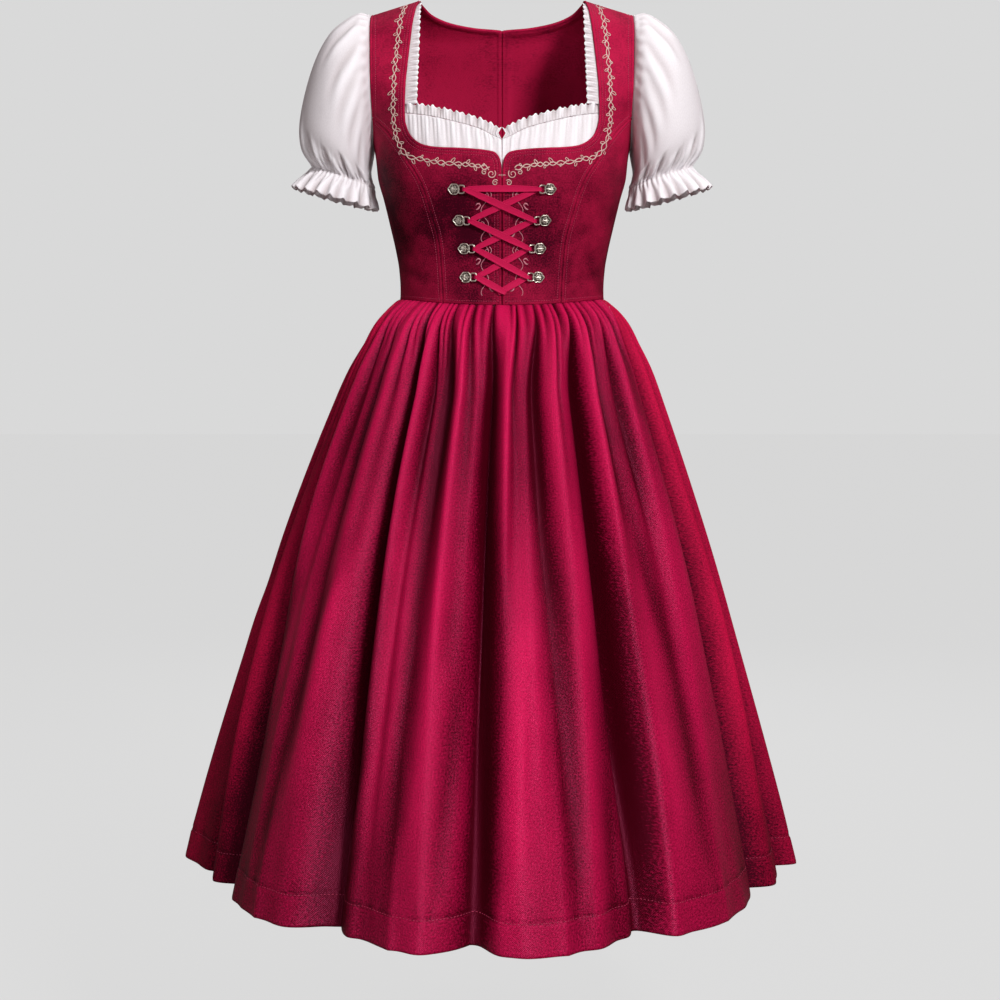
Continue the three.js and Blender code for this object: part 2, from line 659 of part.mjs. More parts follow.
// A waved strip of the blouse front, from rows of a height and a wave size
function blouseStrip(side, rows) {
  const count = BLOUSE_WAVES * 2;
  const [start, end] = [BLOUSE_TOP[0].x, BLOUSE_TOP[BLOUSE_TOP.length - 1].x];
  const sheet = (out) =>
    rows.map(({ heightAt, wave }) => {
      const line = [];
      for (let j = 0; j <= count; j += 1) {
        const x = mix(start, end, j / count);
        line.push(onTorso(x, heightAt(x), BLOUSE_OUT + out + wave * (j % 2 ? 1 : -1)));
      }
      return line;
    });
  const half = BLOUSE_CLOTH / 2;
  return wall(toSide(sheet(half), side), toSide(sheet(-half), side));
}

function blouseFront(side) {
  const between = (share) => (x) => mix(blouseTop(x), BLOUSE_FOOT_Z, share);
  return blouseStrip(side, [
    { heightAt: blouseTop, wave: 0.5 },
    { heightAt: between(0.25), wave: 0.9 },
    { heightAt: between(0.6), wave: 0.9 },
    { heightAt: between(1), wave: 0.7 },
  ]);
}

function blouseRuffle(side) {
  const above = (height) => (x) => blouseTop(x) + height;
  return blouseStrip(side, [
    { heightAt: above(RUFFLE_HEIGHT), wave: 1.8 },
    { heightAt: above(RUFFLE_HEIGHT / 2), wave: 1.2 },
    { heightAt: above(SEAM_GAP), wave: 0.5 },
  ]);
}

// The frill that shows past the inner edge of a strap
function strapFrill(side) {
  const edgeX = through(FRILL, "z", "edge");
  const shows = through(FRILL, "z", "shows");
  const count = FRILL_WAVES * 2;
  const sheet = (out) => {
    const rows = [];
    for (let i = 0; i <= count; i += 1) {
      const z = mix(FRILL[FRILL.length - 1].z, FRILL[0].z, i / count);
      const swing = FRILL_WAVE * (i % 2 ? 1 : -1);
      rows.push([
        onTorso(edgeX(z) + FRILL_HIDDEN, z, FRILL_OUT + out),
        onTorso(edgeX(z), z, FRILL_OUT + out),
        onTorso(edgeX(z) - shows(z) + swing, z, FRILL_OUT + out + swing),
      ]);
    }
    return rows;
  };
  const half = BLOUSE_CLOTH / 2;
  return wall(toSide(sheet(half), side), toSide(sheet(-half), side));
}

// A three.js geometry as a manifold-3d solid, and back
function toSolid(geometry) {
  const bare = geometry.clone();
  bare.deleteAttribute("normal");
  bare.deleteAttribute("uv");
  const merged = mergeVertices(bare, 1e-4);
  const vertProperties = new Float32Array(merged.attributes.position.array);
  const triVerts = new Uint32Array(merged.index.array);
  return new wasm.Manifold(new wasm.Mesh({ numProp: 3, vertProperties, triVerts }));
}

function toGeometry(solid) {
  const { vertProperties, triVerts } = solid.getMesh();
  const geometry = new THREE.BufferGeometry();
  geometry.setAttribute("position", new THREE.BufferAttribute(new Float32Array(vertProperties), 3));
  geometry.setIndex(new THREE.BufferAttribute(new Uint32Array(triVerts), 1));
  geometry.computeVertexNormals();
  return geometry;
}

// The hook's lobed head in its own frame, where +Z leaves the cloth
function rosetteGeometry() {
  const segments = ROSETTE.lobes * 2;
  const levels = [
    { share: 0.55, z: ROSETTE.thick },
    { share: 1, z: ROSETTE.thick / 2 },
    { share: 0.9, z: 0 },
  ];
  const rows = levels.map(({ share, z }) =>
    Array.from({ length: segments }, (_, j) => {
      const turn = (2 * Math.PI * j) / segments;
      const radius = share * (ROSETTE.radius + ROSETTE.lobe * (j % 2 ? -1 : 1));
      return vector(radius * Math.cos(turn), radius * Math.sin(turn), z);
    }),
  );
  const points = [...rows.flat(), vector(0, 0, ROSETTE.thick * 1.15), vector(0, 0, 0)];
  const numbers = rows.map((row, i) => row.map((_, j) => i * segments + j));
  const [tip, foot] = [points.length - 2, points.length - 1];
  const faces = [...stitch(numbers[0], numbers[1], true), ...stitch(numbers[1], numbers[2], true)];
  for (let j = 0; j < segments; j += 1) {
    const next = (j + 1) % segments;
    faces.push([tip, numbers[0][j], numbers[0][next]], [foot, numbers[2][next], numbers[2][j]]);
  }
  return solidGeometry(points, faces);
}

// The hook's ring, a wire bent to a rounded square whose near side sinks into the head
function ringGeometry() {
  const rows = Array.from({ length: RING.steps }, (_, i) => {
    const turn = (2 * Math.PI * i) / RING.steps;
    const across = RING.halfWidth * signedPower(Math.cos(turn), 0.5);
    const up = RING.halfHeight * signedPower(Math.sin(turn), 0.5);
    const away = vector(across, up, 0).normalize();
    const near = (RING.halfWidth - across) / (2 * RING.halfWidth);
    const lift = mix(RING.lift, ROSETTE.thick / 2, near ** 1.5);
    return Array.from({ length: RING.sides }, (_, k) => {
      const spin = (2 * Math.PI * k) / RING.sides;
      const point = vector(RING.centre + across, up, lift + RING.wire * Math.sin(spin));
      return point.addScaledVector(away, RING.wire * Math.cos(spin));
    });
  });
  const numbers = rows.map((row, i) => row.map((_, k) => i * RING.sides + k));
  const faces = numbers.flatMap((row, i) => stitch(row, numbers[(i + 1) % RING.steps], true));
  return solidGeometry(rows.flat(), faces);
}

const HOOK_SOLID = toSolid(rosetteGeometry()).add(toSolid(ringGeometry()));

// Where a hook lies on the bodice: its base, its way towards the centre front, and out of the cloth
function hookFrame(hook, side) {
  const mirror = (v) => vector(v.x * side, v.y, v.z);
  const base = onTorso(hook.x, hook.z, BODICE_CLOTH / 2 + SEAM_GAP);
  const out = torsoNormal(bearingAt(hook.x, hook.z), hook.z);
  const inward = vector(-1, 0, 0).addScaledVector(out, out.x).normalize();
  return { base: mirror(base), inward: mirror(inward), out: mirror(out) };
}

function hookGeometry(hook, side) {
  const { base, inward, out } = hookFrame(hook, side);
  const up = out.clone().cross(inward);
  const place = new THREE.Matrix4().makeBasis(inward, up, out).setPosition(base);
  return toGeometry(HOOK_SOLID).applyMatrix4(place);
}

// The lace's middle line, as points with the ribbon's width and the way that its width lies
function laceRoute() {
  const ringX = RING.centre + RING.halfWidth;
  const lifts = { over: RING.lift + SEAM_GAP + LACE.wrap, under: RING.lift + SEAM_GAP - LACE.wrap };
  const other = { over: "under", under: "over" };
  const upward = (v) => (v.z < 0 ? v.negate() : v).normalize();
  const route = [];

  const strand = (from, to) => {
    const middle = (LACE[from.pass] + LACE[to.pass]) / 2;
    const along = vector(to.x - from.x, 0, to.z - from.z);
    for (let i = from.loose ? 0 : 1; i < STRAND_STEPS + (to.loose ? 1 : 0); i += 1) {
      const t = i / STRAND_STEPS;
      const x = mix(from.x, to.x, t);
      const z = mix(from.z, to.z, t);
      const bow = Math.sqrt(Math.sin(Math.PI * Math.min(t, 0.999)));
      const lift = mix(mix(from.lift, to.lift, t), middle, bow);
      const side = Math.sign(x) || 1;
      const [point] = toSide([[onTorso(Math.abs(x), z, BODICE_CLOTH / 2 + lift)]], side)[0];
      const [out] = toSide([[torsoNormal(bearingAt(Math.abs(x), z), z)]], side)[0];
      const width = mix(LACE.narrow, LACE.width, bow);
      route.push({ point, width, across: upward(out.cross(along)) });
    }
  };
  const wrapRing = ({ base, inward, out }, reaches) => {
    const across = upward(out.clone().cross(inward));
    for (let i = 0; i <= WRAP_STEPS; i += 1) {
      const swing = Math.PI * (i / WRAP_STEPS);
      const height = (reaches === "over" ? 1 : -1) * LACE.wrap * Math.cos(swing);
      const point = base.clone().addScaledVector(out, RING.lift + height);
      point.addScaledVector(inward, ringX - LACE.wrap * Math.sin(swing));
      route.push({ point, width: LACE.narrow, across });
    }
  };

  let from = { x: LACE_END.x, z: LACE_END.z, pass: "over", lift: LACE.over, loose: true };
  for (const { hook, side, reaches } of LACE_STOPS) {
    const row = HOOKS[hook - 1];
    const ring = { x: side * (row.x - ringX), z: row.z };
    strand(from, { ...ring, pass: reaches, lift: lifts[reaches] });
    wrapRing(hookFrame(row, side), reaches);
    from = { ...ring, pass: other[reaches], lift: lifts[other[reaches]] };
  }
  strand(from, { x: -LACE_END.x, z: LACE_END.z, pass: "under", lift: LACE.under, loose: true });
  return route;
}

// The flat lace: a ribbon along its route, whose width lies on the bodice
function laceGeometry() {
  const route = laceRoute();
  const rows = route.map(({ point, width, across }, i) => {
    const before = route[Math.max(0, i - 1)].point;
    const after = route[Math.min(route.length - 1, i + 1)].point;
    const face = after.clone().sub(before).cross(across).normalize();
    const corners = [[1, 1], [-1, 1], [-1, -1], [1, -1]];
    return corners.map(([wide, thick]) =>
      point
        .clone()
        .addScaledVector(across, (wide * width) / 2)
        .addScaledVector(face, (thick * LACE.thick) / 2),
    );
  });
  const numbers = rows.map((row, i) => row.map((_, k) => i * row.length + k));
  const faces = numbers.slice(1).flatMap((row, i) => stitch(numbers[i], row, true));
  for (const [a, b, c, d] of [numbers[0], [...numbers[numbers.length - 1]].reverse()]) {
    faces.push([a, b, c], [a, c, d]);
  }
  return solidGeometry(rows.flat(), faces);
}

const dirndl = new THREE.Group();
dirndl.name = "dirndl";

function add(name, geometry, material) {
  const mesh = new THREE.Mesh(geometry, material);
  mesh.name = name;
  dirndl.add(mesh);
}

const skirt = skirtSheets();
const frontWidth = FRONT_VALLEYS.length - 1;
const centreBack = frontWidth + BACK_FOLDS / 2;
add("skirt_front", skirtWidth(skirt, 0, frontWidth), MATERIALS.satin);
add("skirt_back_left", skirtWidth(skirt, frontWidth, centreBack), MATERIALS.satin);
add("skirt_back_right", skirtWidth(skirt, centreBack, FOLDS), MATERIALS.satin);

for (const { name, side } of [{ name: "left", side: 1 }, { name: "right", side: -1 }]) {
  add(`bodice_front_${name}`, front(side), MATERIALS.velvet);
  add(`bodice_side_front_${name}`, sideFront(side), MATERIALS.velvet);
  add(`bodice_side_back_${name}`, sideBack(side), MATERIALS.velvet);
  add(`bodice_back_${name}`, back(side), MATERIALS.velvet);
  add(`blouse_sleeve_${name}`, sleeve(side), MATERIALS.cotton);
  add(`blouse_front_${name}`, blouseFront(side), MATERIALS.cotton);
  add(`blouse_ruffle_${name}`, blouseRuffle(side), MATERIALS.cotton);
  add(`strap_frill_${name}`, strapFrill(side), MATERIALS.cotton);
  HOOKS.forEach((hook, i) => add(`hook_${name}_${i + 1}`, hookGeometry(hook, side), MATERIALS.silver));
}
add("lace", laceGeometry(), MATERIALS.ribbon);

export default dirndl;
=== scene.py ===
# A dirndl with its short blouse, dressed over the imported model: cloth, gathers, sewing, hooks and lace.
# Sizes are millimetres until a mesh is made. +Z is up, the front faces -Y and +X is the wearer's left.
import itertools

import bpy
import numpy as np
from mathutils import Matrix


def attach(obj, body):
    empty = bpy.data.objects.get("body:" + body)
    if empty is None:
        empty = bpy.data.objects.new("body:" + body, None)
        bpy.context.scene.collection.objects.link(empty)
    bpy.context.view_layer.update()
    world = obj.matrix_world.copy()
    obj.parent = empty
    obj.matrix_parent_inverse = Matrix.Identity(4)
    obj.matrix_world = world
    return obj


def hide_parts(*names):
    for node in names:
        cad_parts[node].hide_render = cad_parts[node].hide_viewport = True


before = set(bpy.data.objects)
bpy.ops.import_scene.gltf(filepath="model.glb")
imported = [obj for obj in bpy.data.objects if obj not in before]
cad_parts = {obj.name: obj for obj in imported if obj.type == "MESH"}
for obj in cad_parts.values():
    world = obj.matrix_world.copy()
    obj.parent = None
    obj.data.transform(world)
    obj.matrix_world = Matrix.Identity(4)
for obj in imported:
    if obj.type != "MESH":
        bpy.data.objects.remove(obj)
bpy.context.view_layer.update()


def table(columns, rows):
    """Rows of numbers under named columns"""
    return dict(zip(columns.split(), np.array(rows, float).T))


def each_row(rows):
    """The rows of a table one by one, each under the names of its columns"""
    return [dict(zip(rows, values)) for values in zip(*rows.values())]


# Sizes shared with the solids
WAIST_Z, WAIST_DIP, HEM_Z = -385, 12, -1090
NECK_X, SHOULDER_X, SHOULDER_DROP, UNDERARM_Z = 105, 168, 19, -188
BODICE_CLOTH, SKIRT_CLOTH, BLOUSE_CLOTH, SEAM_GAP = 2.0, 1.5, 1.2, 0.3
SQUARENESS, SHOULDER_ROUND = 2.4, 40
SLOPE_FROM, SLOPE_TO = -160, -60

TORSO = table("z half front back", [
    (-402, 131, 103, 88),
    (-385, 130, 102, 86.5),
    (-372, 129.8, 102, 85.5),
    (-346, 131.5, 103.5, 84.5),
    (-320, 136, 107, 85),
    (-294, 142, 113, 87),
    (-255, 151.5, 122.5, 92.5),
    (-229, 158.6, 125, 96),
    (-203, 161.5, 121.5, 98),
    (-188, 164, 118, 98.5),
    (-172, 167, 113, 98.5),
    (-156, 173, 107, 98),
    (-134, 188, 97, 96),
    (-105, 222, 84, 91),
    (-80, 243, 72, 84),
    (-50, 245, 61, 71),
    (0, 245, 52, 46),
])
FRONT_PRINCESS = table("z x", [
    (-398, 72), (-325, 77), (-281, 88), (-246, 100), (-216, 118), (-196, 131),
    (-180, 142), (-167, 153), (-156, 163.2),
])
BACK_PRINCESS = table("z x", [
    (-398, 52), (-330, 58), (-280, 70), (-230, 88), (-190, 108), (-160, 128),
    (-135, 149), (-118, 161.7),
])
FRONT_ARMHOLE = table("z x", [
    (-188, 164), (-172, 163), (-156, 163.2), (-134, 164.3), (-105, 165.5), (-75, 166.5),
    (-46, 167.3), (-19, 168),
])
BACK_ARMHOLE = table("z x", [
    (-188, 164), (-172, 162.6), (-156, 161.8), (-134, 161.5), (-105, 162), (-75, 163.6),
    (-46, 165.6), (-19, 168),
])
# Each row of a panel, from its inner edge to its outer edge
FRONT_ROWS = table("inner_x inner_z outer_z", [
    (1, -397, -394),
    (1, -374, -373),
    (1, -352, -352),
    (1, -330, -331),
    (1, -308, -310),
    (1, -286, -289),
    (1, -264, -268),
    (1, -243, -250),
    (1.5, -228, -237),
    (4, -219, -229),
    (10, -212.5, -223),
    (24, -209.5, -217),
    (50, -207, -211),
    (76, -205, -204),
    (94, -201.5, -196),
    (107, -194, -187),
    (116, -182, -177),
    (120.5, -165, -166),
    (121, -146, -157),
    (120.5, -123, -137),
    (118.8, -100, -115),
    (117, -78, -93.5),
    (115, -57, -75),
    (113, -40, -59.5),
    (111, -26.3, -45.6),
    (109.5, -17, -36.2),
    (107.7, -9.4, -28.5),
    (106.2, -4, -23),
    (105.3, -1, -20),
    (105, 0, -19),
])
BACK_ROWS = table("inner_x inner_z outer_z", [
    (0.2, -385, -385),
    (0.2, -335, -335),
    (0.2, -285, -285),
    (0.2, -235, -238),
    (0.2, -192, -200),
    (0.2, -176, -188),
    (0.2, -158, -176),
    (0.2, -139, -162),
    (0.2, -119, -146),
    (0.2, -95, -128),
    (0.2, -75, -116),
    (0.2, -57, -94),
    (0.2, -42, -74),
    (0.2, -31, -58),
    (0.2, -24, -45.5),
    (36, -21, -36),
    (69, -16, -28.5),
    (92, -8.5, -22.5),
    (101, -2.5, -20),
    (105, 0, -19),
])
SIDE_FRONT_EDGE = table("inner outer", [
    (-394, -385), (-325, -315), (-268, -258), (-229, -215), (-211, -188),
    (-196, -186.5), (-177, -178), (-157, -158.5),
])
SIDE_BACK_EDGE = table("inner outer", [
    (-385, -385), (-285, -275), (-238, -228), (-200, -188), (-188, -186.4),
    (-176, -182.5), (-162, -173), (-146, -158), (-128, -137), (-118, -120),
])

# The skirt's mean form by the drop below the waist, with the height of its gathers, pairs and folds
SKIRT = table("drop half front back gather pair fold", [
    (0, 130, 102, 87, 2.4, 0, 0),
    (6, 136, 108, 93, 3.9, 0.4, 0.6),
    (16, 146, 118, 104, 4.3, 1.4, 1.6),
    (32, 157, 131, 119, 3.9, 3.2, 4),
    (55, 168, 145, 136, 2.8, 4.6, 7),
    (90, 185, 166, 159, 1.4, 4.8, 10),
    (140, 204, 190, 185, 0.3, 4.2, 12),
    (220, 232.5, 224, 221, 0, 3.2, 14),
    (330, 268.5, 266, 264, 0, 2.2, 16),
    (450, 303, 306, 304, 0, 1.2, 18),
    (570, 336, 343, 341, 0, 0, 20),
    (660, 359, 371, 369, 0, 0, 21),
    (705, 369, 383, 381, 0, 0, 22),
])
# The front valleys' bearings in degrees and their depth, high up and at the hem
FRONT_VALLEYS = table("top hem upper lower", [
    (-71, -60.5, 1, 1),
    (-51, -44, 0.35, -0.6),
    (-33, -28.5, 1, 1),
    (-19, -16, 0.8, -0.75),
    (-2, -3.5, 1, 0.7),
    (13, 12, 0.8, -0.85),
    (30, 26, 1, 1),
    (49, 43, 0.35, -0.4),
    (68, 60.5, 1, 1),
])
# The valleys behind: how many, their depths read round and round, and how unevenly they lie
BACK_FOLDS = 18
BACK_UPPER = [0.4, 1, 0.6, 0.9, 0.35, 1]
BACK_LOWER = [-0.5, 0.9, -0.3, 1, -0.6, 0.8]
BACK_SWAY_DEGREES, BACK_SWAY_RATE = 2.2, 2.3
CREST, ROUND_BELOW, COLUMNS_PER_FOLD = 0.75, 120, 8
SKIRT_LEAN, LEAN_EASING = -13, 2.2
HEM_LINE = 34

ARMHOLE_RINGS = [(-2, -3.2), (1.5, -3.2), (1.5, 2.2)]
SLEEVE = table("out_x out_z in_x in_z depth", [
    (174, -17.5, 167.5, -196, 66),
    (184, -16, 168, -203, 73),
    (201, -24.5, 169, -210, 78),
    (221, -42, 170, -216, 80),
    (239, -74, 170, -221.5, 79),
    (253, -117, 169, -226.5, 75),
    (261, -160, 168, -231, 68),
    (258.5, -190, 167, -235, 57),
    (246, -210, 166, -239, 46),
    (247, -216, 165.5, -244, 46),
    (260, -228, 164, -256, 54),
    (270, -240, 162.5, -269, 61),
])
ARM_CENTRE_X = 230

BLOUSE_TOP = table("x z", [
    (0.3, -196), (16, -187), (32, -180), (63, -170.5), (94, -162.5), (126, -157),
])
BLOUSE_FOOT_Z, BLOUSE_OUT, RUFFLE_HEIGHT = -244, -3.2, 14
FRILL = table("z edge shows", [
    (-142.3, 121, 15),
    (-110, 119.6, 14.5),
    (-75, 116.8, 12.5),
    (-40, 113, 9.5),
    (-12, 108.4, 5),
    (-6, 106.8, 3.5),
])
FRILL_HIDDEN, FRILL_OUT = 8, -2.3

HOOKS = [(58, -257), (52, -294), (46, -328), (44, -363)]
RING = dict(centre=9.6, half_width=3.8, half_height=4.8, wire=0.9, lift=3.1)
HEAD_THICK = 2.2
LACE = dict(width=8.5, narrow=4.8, thick=1.2, wrap=1.85, under=1.2, over=3.1)
LACE_END = (5, -383)
LACE_STOPS = [
    (4, -1, "over"),
    (3, 1, "under"),
    (2, -1, "over"),
    (1, 1, "under"),
    (1, -1, "under"),
    (2, 1, "over"),
    (3, -1, "under"),
    (4, 1, "over"),
]


# Curves and the body form
def mix(a, b, t):
    return a + (b - a) * t


def smooth(t):
    t = np.clip(t, 0, 1)
    return t * t * (3 - 2 * t)


def hump(distance, width):
    """One soft ridge of height 1 round distance 0"""
    return np.exp(-((distance / width) ** 2))


def signed_power(value, power):
    return np.sign(value) * np.abs(value) ** power


def unit(vectors):
    return vectors / np.maximum(np.linalg.norm(vectors, axis=-1, keepdims=True), 1e-9)


def through(rows, by, key):
    """A smooth curve through one column of a table, with no overshoot and level beyond its ends"""
    order = np.argsort(rows[by])
    x, y = rows[by][order], rows[key][order]
    step = np.diff(x)
    slope = np.diff(y) / step
    before, after = slope[:-1], slope[1:]
    same_way = before * after > 0
    middle = np.where(same_way, 2 * before * after / np.where(same_way, before + after, 1), 0)
    tangent = np.concatenate([slope[:1], middle, slope[-1:]])

    def at(value):
        value = np.clip(value, x[0], x[-1])
        i = np.clip(np.searchsorted(x, value, side="right") - 1, 0, len(x) - 2)
        t = (value - x[i]) / step[i]
        s = 1 - t
        start = y[i] * (1 + 2 * t) * s * s + tangent[i] * step[i] * t * s * s
        end = y[i + 1] * t * t * (3 - 2 * t) - tangent[i + 1] * step[i] * t * t * s
        return start + end

    return at


def by_number(rows, key):
    """A smooth curve through one column of a table, by the number of its row"""
    return through({"number": np.arange(len(rows[key]), dtype=float), key: rows[key]}, "number", key)

torso_half = through(TORSO, "z", "half")
torso_front = through(TORSO, "z", "front")
torso_back = through(TORSO, "z", "back")
front_princess = through(FRONT_PRINCESS, "z", "x")
back_princess = through(BACK_PRINCESS, "z", "x")
front_armhole = through(FRONT_ARMHOLE, "z", "x")
back_armhole = through(BACK_ARMHOLE, "z", "x")
FRONT_TIP_Z = FRONT_PRINCESS["z"][-1]
BACK_TIP_Z = BACK_PRINCESS["z"][-1]


def waist_z(bearing):
    return WAIST_Z - WAIST_DIP * np.maximum(0, np.cos(bearing)) ** 2


def torso_point(bearing, z):
    """A point of the body form: bearing 0 is the centre front, a half turn is the centre back"""
    bearing, z = np.broadcast_arrays(np.asarray(bearing, float), np.asarray(z, float))
    power = 2 / SQUARENESS
    x = torso_half(z) * signed_power(np.sin(bearing), power)
    share = smooth((z - SLOPE_FROM) / (SLOPE_TO - SLOPE_FROM))
    slope = SHOULDER_DROP / (SHOULDER_X - NECK_X)
    height = np.minimum(0, z + slope * np.maximum(0, np.abs(x) - NECK_X) * share)
    round_off = np.sqrt(1 - np.clip(1 + height / SHOULDER_ROUND, 0, 1) ** 2)
    depth = np.where(np.cos(bearing) >= 0, torso_front(height), torso_back(height)) * round_off
    return np.stack([x, -depth * signed_power(np.cos(bearing), power), z], -1)


def torso_normal(bearing, z):
    low = np.minimum(z, -1.5)
    across = torso_point(bearing + 0.004, low) - torso_point(bearing - 0.004, low)
    up = torso_point(bearing, low + 0.4) - torso_point(bearing, low - 0.4)
    return unit(np.cross(across, up))


def bearing_at(x, z, behind=False):
    front = np.arcsin(np.clip(np.asarray(x, float) / torso_half(z), 0, 1) ** (SQUARENESS / 2))
    return np.pi - front if behind else front


def on_torso(x, z, out, behind=False):
    """Points at x and z on the body form, moved out along its normal"""
    bearing = bearing_at(np.abs(x), z, behind)
    normal = torso_normal(bearing, z)
    points = torso_point(bearing, z) + normal * np.asarray(out)[..., None]
    return mirrored(points, np.where(np.asarray(x) < 0, -1.0, 1.0))


def mirrored(points, side):
    """The same points on the wearer's left, side 1, or right, side -1"""
    turned = points.copy()
    turned[..., 0] *= side
    return turned


def arc_length(line):
    return np.concatenate([[0], np.cumsum(np.linalg.norm(np.diff(line, axis=0), axis=1))])


def evenly(line, pitch):
    """The line's points again, an even pitch apart"""
    length = arc_length(line)
    count = max(2, int(round(length[-1] / pitch)) + 1)
    at = np.linspace(0, length[-1], count)
    return np.stack([np.interp(at, length, line[:, k]) for k in range(line.shape[1])], -1)


def distance_to(points, line):
    """How far each point is from a line of short straight pieces"""
    flat = points.reshape(-1, 3)
    nearest = np.full(len(flat), np.inf)
    for start, step in zip(line[:-1], np.diff(line, axis=0)):
        t = np.clip((flat - start) @ step / max(step @ step, 1e-9), 0, 1)
        gap = np.linalg.norm(flat - start - t[:, None] * step, axis=1)
        nearest = np.minimum(nearest, gap)
    return nearest.reshape(points.shape[:-1])


def uneven(values, position):
    """A short table read round and round, with a soft passage from each value to the next"""
    values = np.array(values, float)
    low = np.floor(position).astype(int)
    return mix(values[low % len(values)], values[(low + 1) % len(values)], smooth(position - low))


# Meshes
def quads(grid):
    corners = [grid[:-1, :-1], grid[1:, :-1], grid[1:, 1:], grid[:-1, 1:]]
    return np.stack(corners, -1).reshape(-1, 4)


def ring_faces(rings, sides, closed=False, turned=False):
    """Faces round a run of rings: joined into a loop if closed, else with a cap at both ends"""
    index = np.arange(rings * sides).reshape(rings, sides)
    index = np.concatenate([index, index[:, :1]], axis=1)
    if closed:
        return quads(np.concatenate([index, index[:1]])).tolist()
    first, last = index[0, :-1], index[-1, :-1]
    caps = [first[::-1], last] if turned else [first, last[::-1]]
    return quads(index).tolist() + [cap.tolist() for cap in caps]


def make_object(name, points, faces, material, cloth=None):
    """A smooth mesh from points in millimetres and faces of three or four corners"""
    mesh = bpy.data.meshes.new(name)
    mesh.from_pydata((points / 1000).tolist(), [], [list(face) for face in faces])
    if cloth is not None:
        layer = mesh.attributes.new("cloth", "FLOAT_VECTOR", "POINT")
        layer.data.foreach_set("vector", cloth.astype(np.float32).ravel())
    mesh.polygons.foreach_set("use_smooth", [True] * len(mesh.polygons))
    mesh.materials.append(material)
    mesh.update()
    made = bpy.data.objects.new(name, mesh)
    bpy.context.scene.collection.objects.link(made)
    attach(made, "root")
    return made


SHEETS = {}


def cloth_wall(name, outer, inner, cloth, material, slot, wrap=False, inside=0.0):
    """A closed wall of cloth between two sheets; cloth holds each point's place in the flat cut and its
    colour share, which carries painted light and shade, and inside lightens the inner sheet's share as
    painted light
    """
    rows, columns = outer.shape[:2]
    points = np.concatenate([outer.reshape(-1, 3), inner.reshape(-1, 3)])
    out = np.arange(rows * columns).reshape(rows, columns)
    if wrap:
        out = np.concatenate([out, out[:, :1]], axis=1)
    back = out + rows * columns
    faces = [quads(out), quads(back)[:, ::-1]]
    faces += [quads(np.stack([back[0], out[0]])), quads(np.stack([out[-1], back[-1]]))]
    if not wrap:
        faces += [quads(np.stack([out[:, 0], back[:, 0]]))]
        faces += [quads(np.stack([back[:, -1], out[:, -1]]))]
    faces = np.concatenate(faces)
    corner = points[faces]
    volume = np.sum(corner[:, 0] * np.cross(corner[:, 1], corner[:, 2]))
    volume += np.sum(corner[:, 0] * np.cross(corner[:, 2], corner[:, 3]))
    if volume < 0:
        faces = faces[:, ::-1]
    place = np.concatenate([cloth.reshape(-1, 3), (cloth + [0, 0, inside]).reshape(-1, 3)])
    made = make_object(name, points, faces.tolist(), material, place)
    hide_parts(name)
    SHEETS[name] = made


def rounded_half(cloth, thin, to_edge, reach):
    """Half the cloth's thickness, rounded off to a thin edge within reach of it"""
    return thin + (cloth / 2 - thin) * np.sqrt(1 - (1 - np.clip(to_edge / reach, 0, 1)) ** 2)


def grid_normals(points, wrap=False):
    """The direction out of each point of a grid of rows"""
    if wrap:
        east, west = np.roll(points, -1, axis=1), np.roll(points, 1, axis=1)
    else:
        east = np.concatenate([points[:, 1:], points[:, -1:]], axis=1)
        west = np.concatenate([points[:, :1], points[:, :-1]], axis=1)
    below = np.concatenate([points[1:], points[-1:]])
    above = np.concatenate([points[:1], points[:-1]])
    return unit(np.cross(east - west, below - above))


def turned_out(normals, outward):
    """The same directions, all turned over where they point against the way out"""
    return -normals if np.sum(normals * outward) < 0 else normals


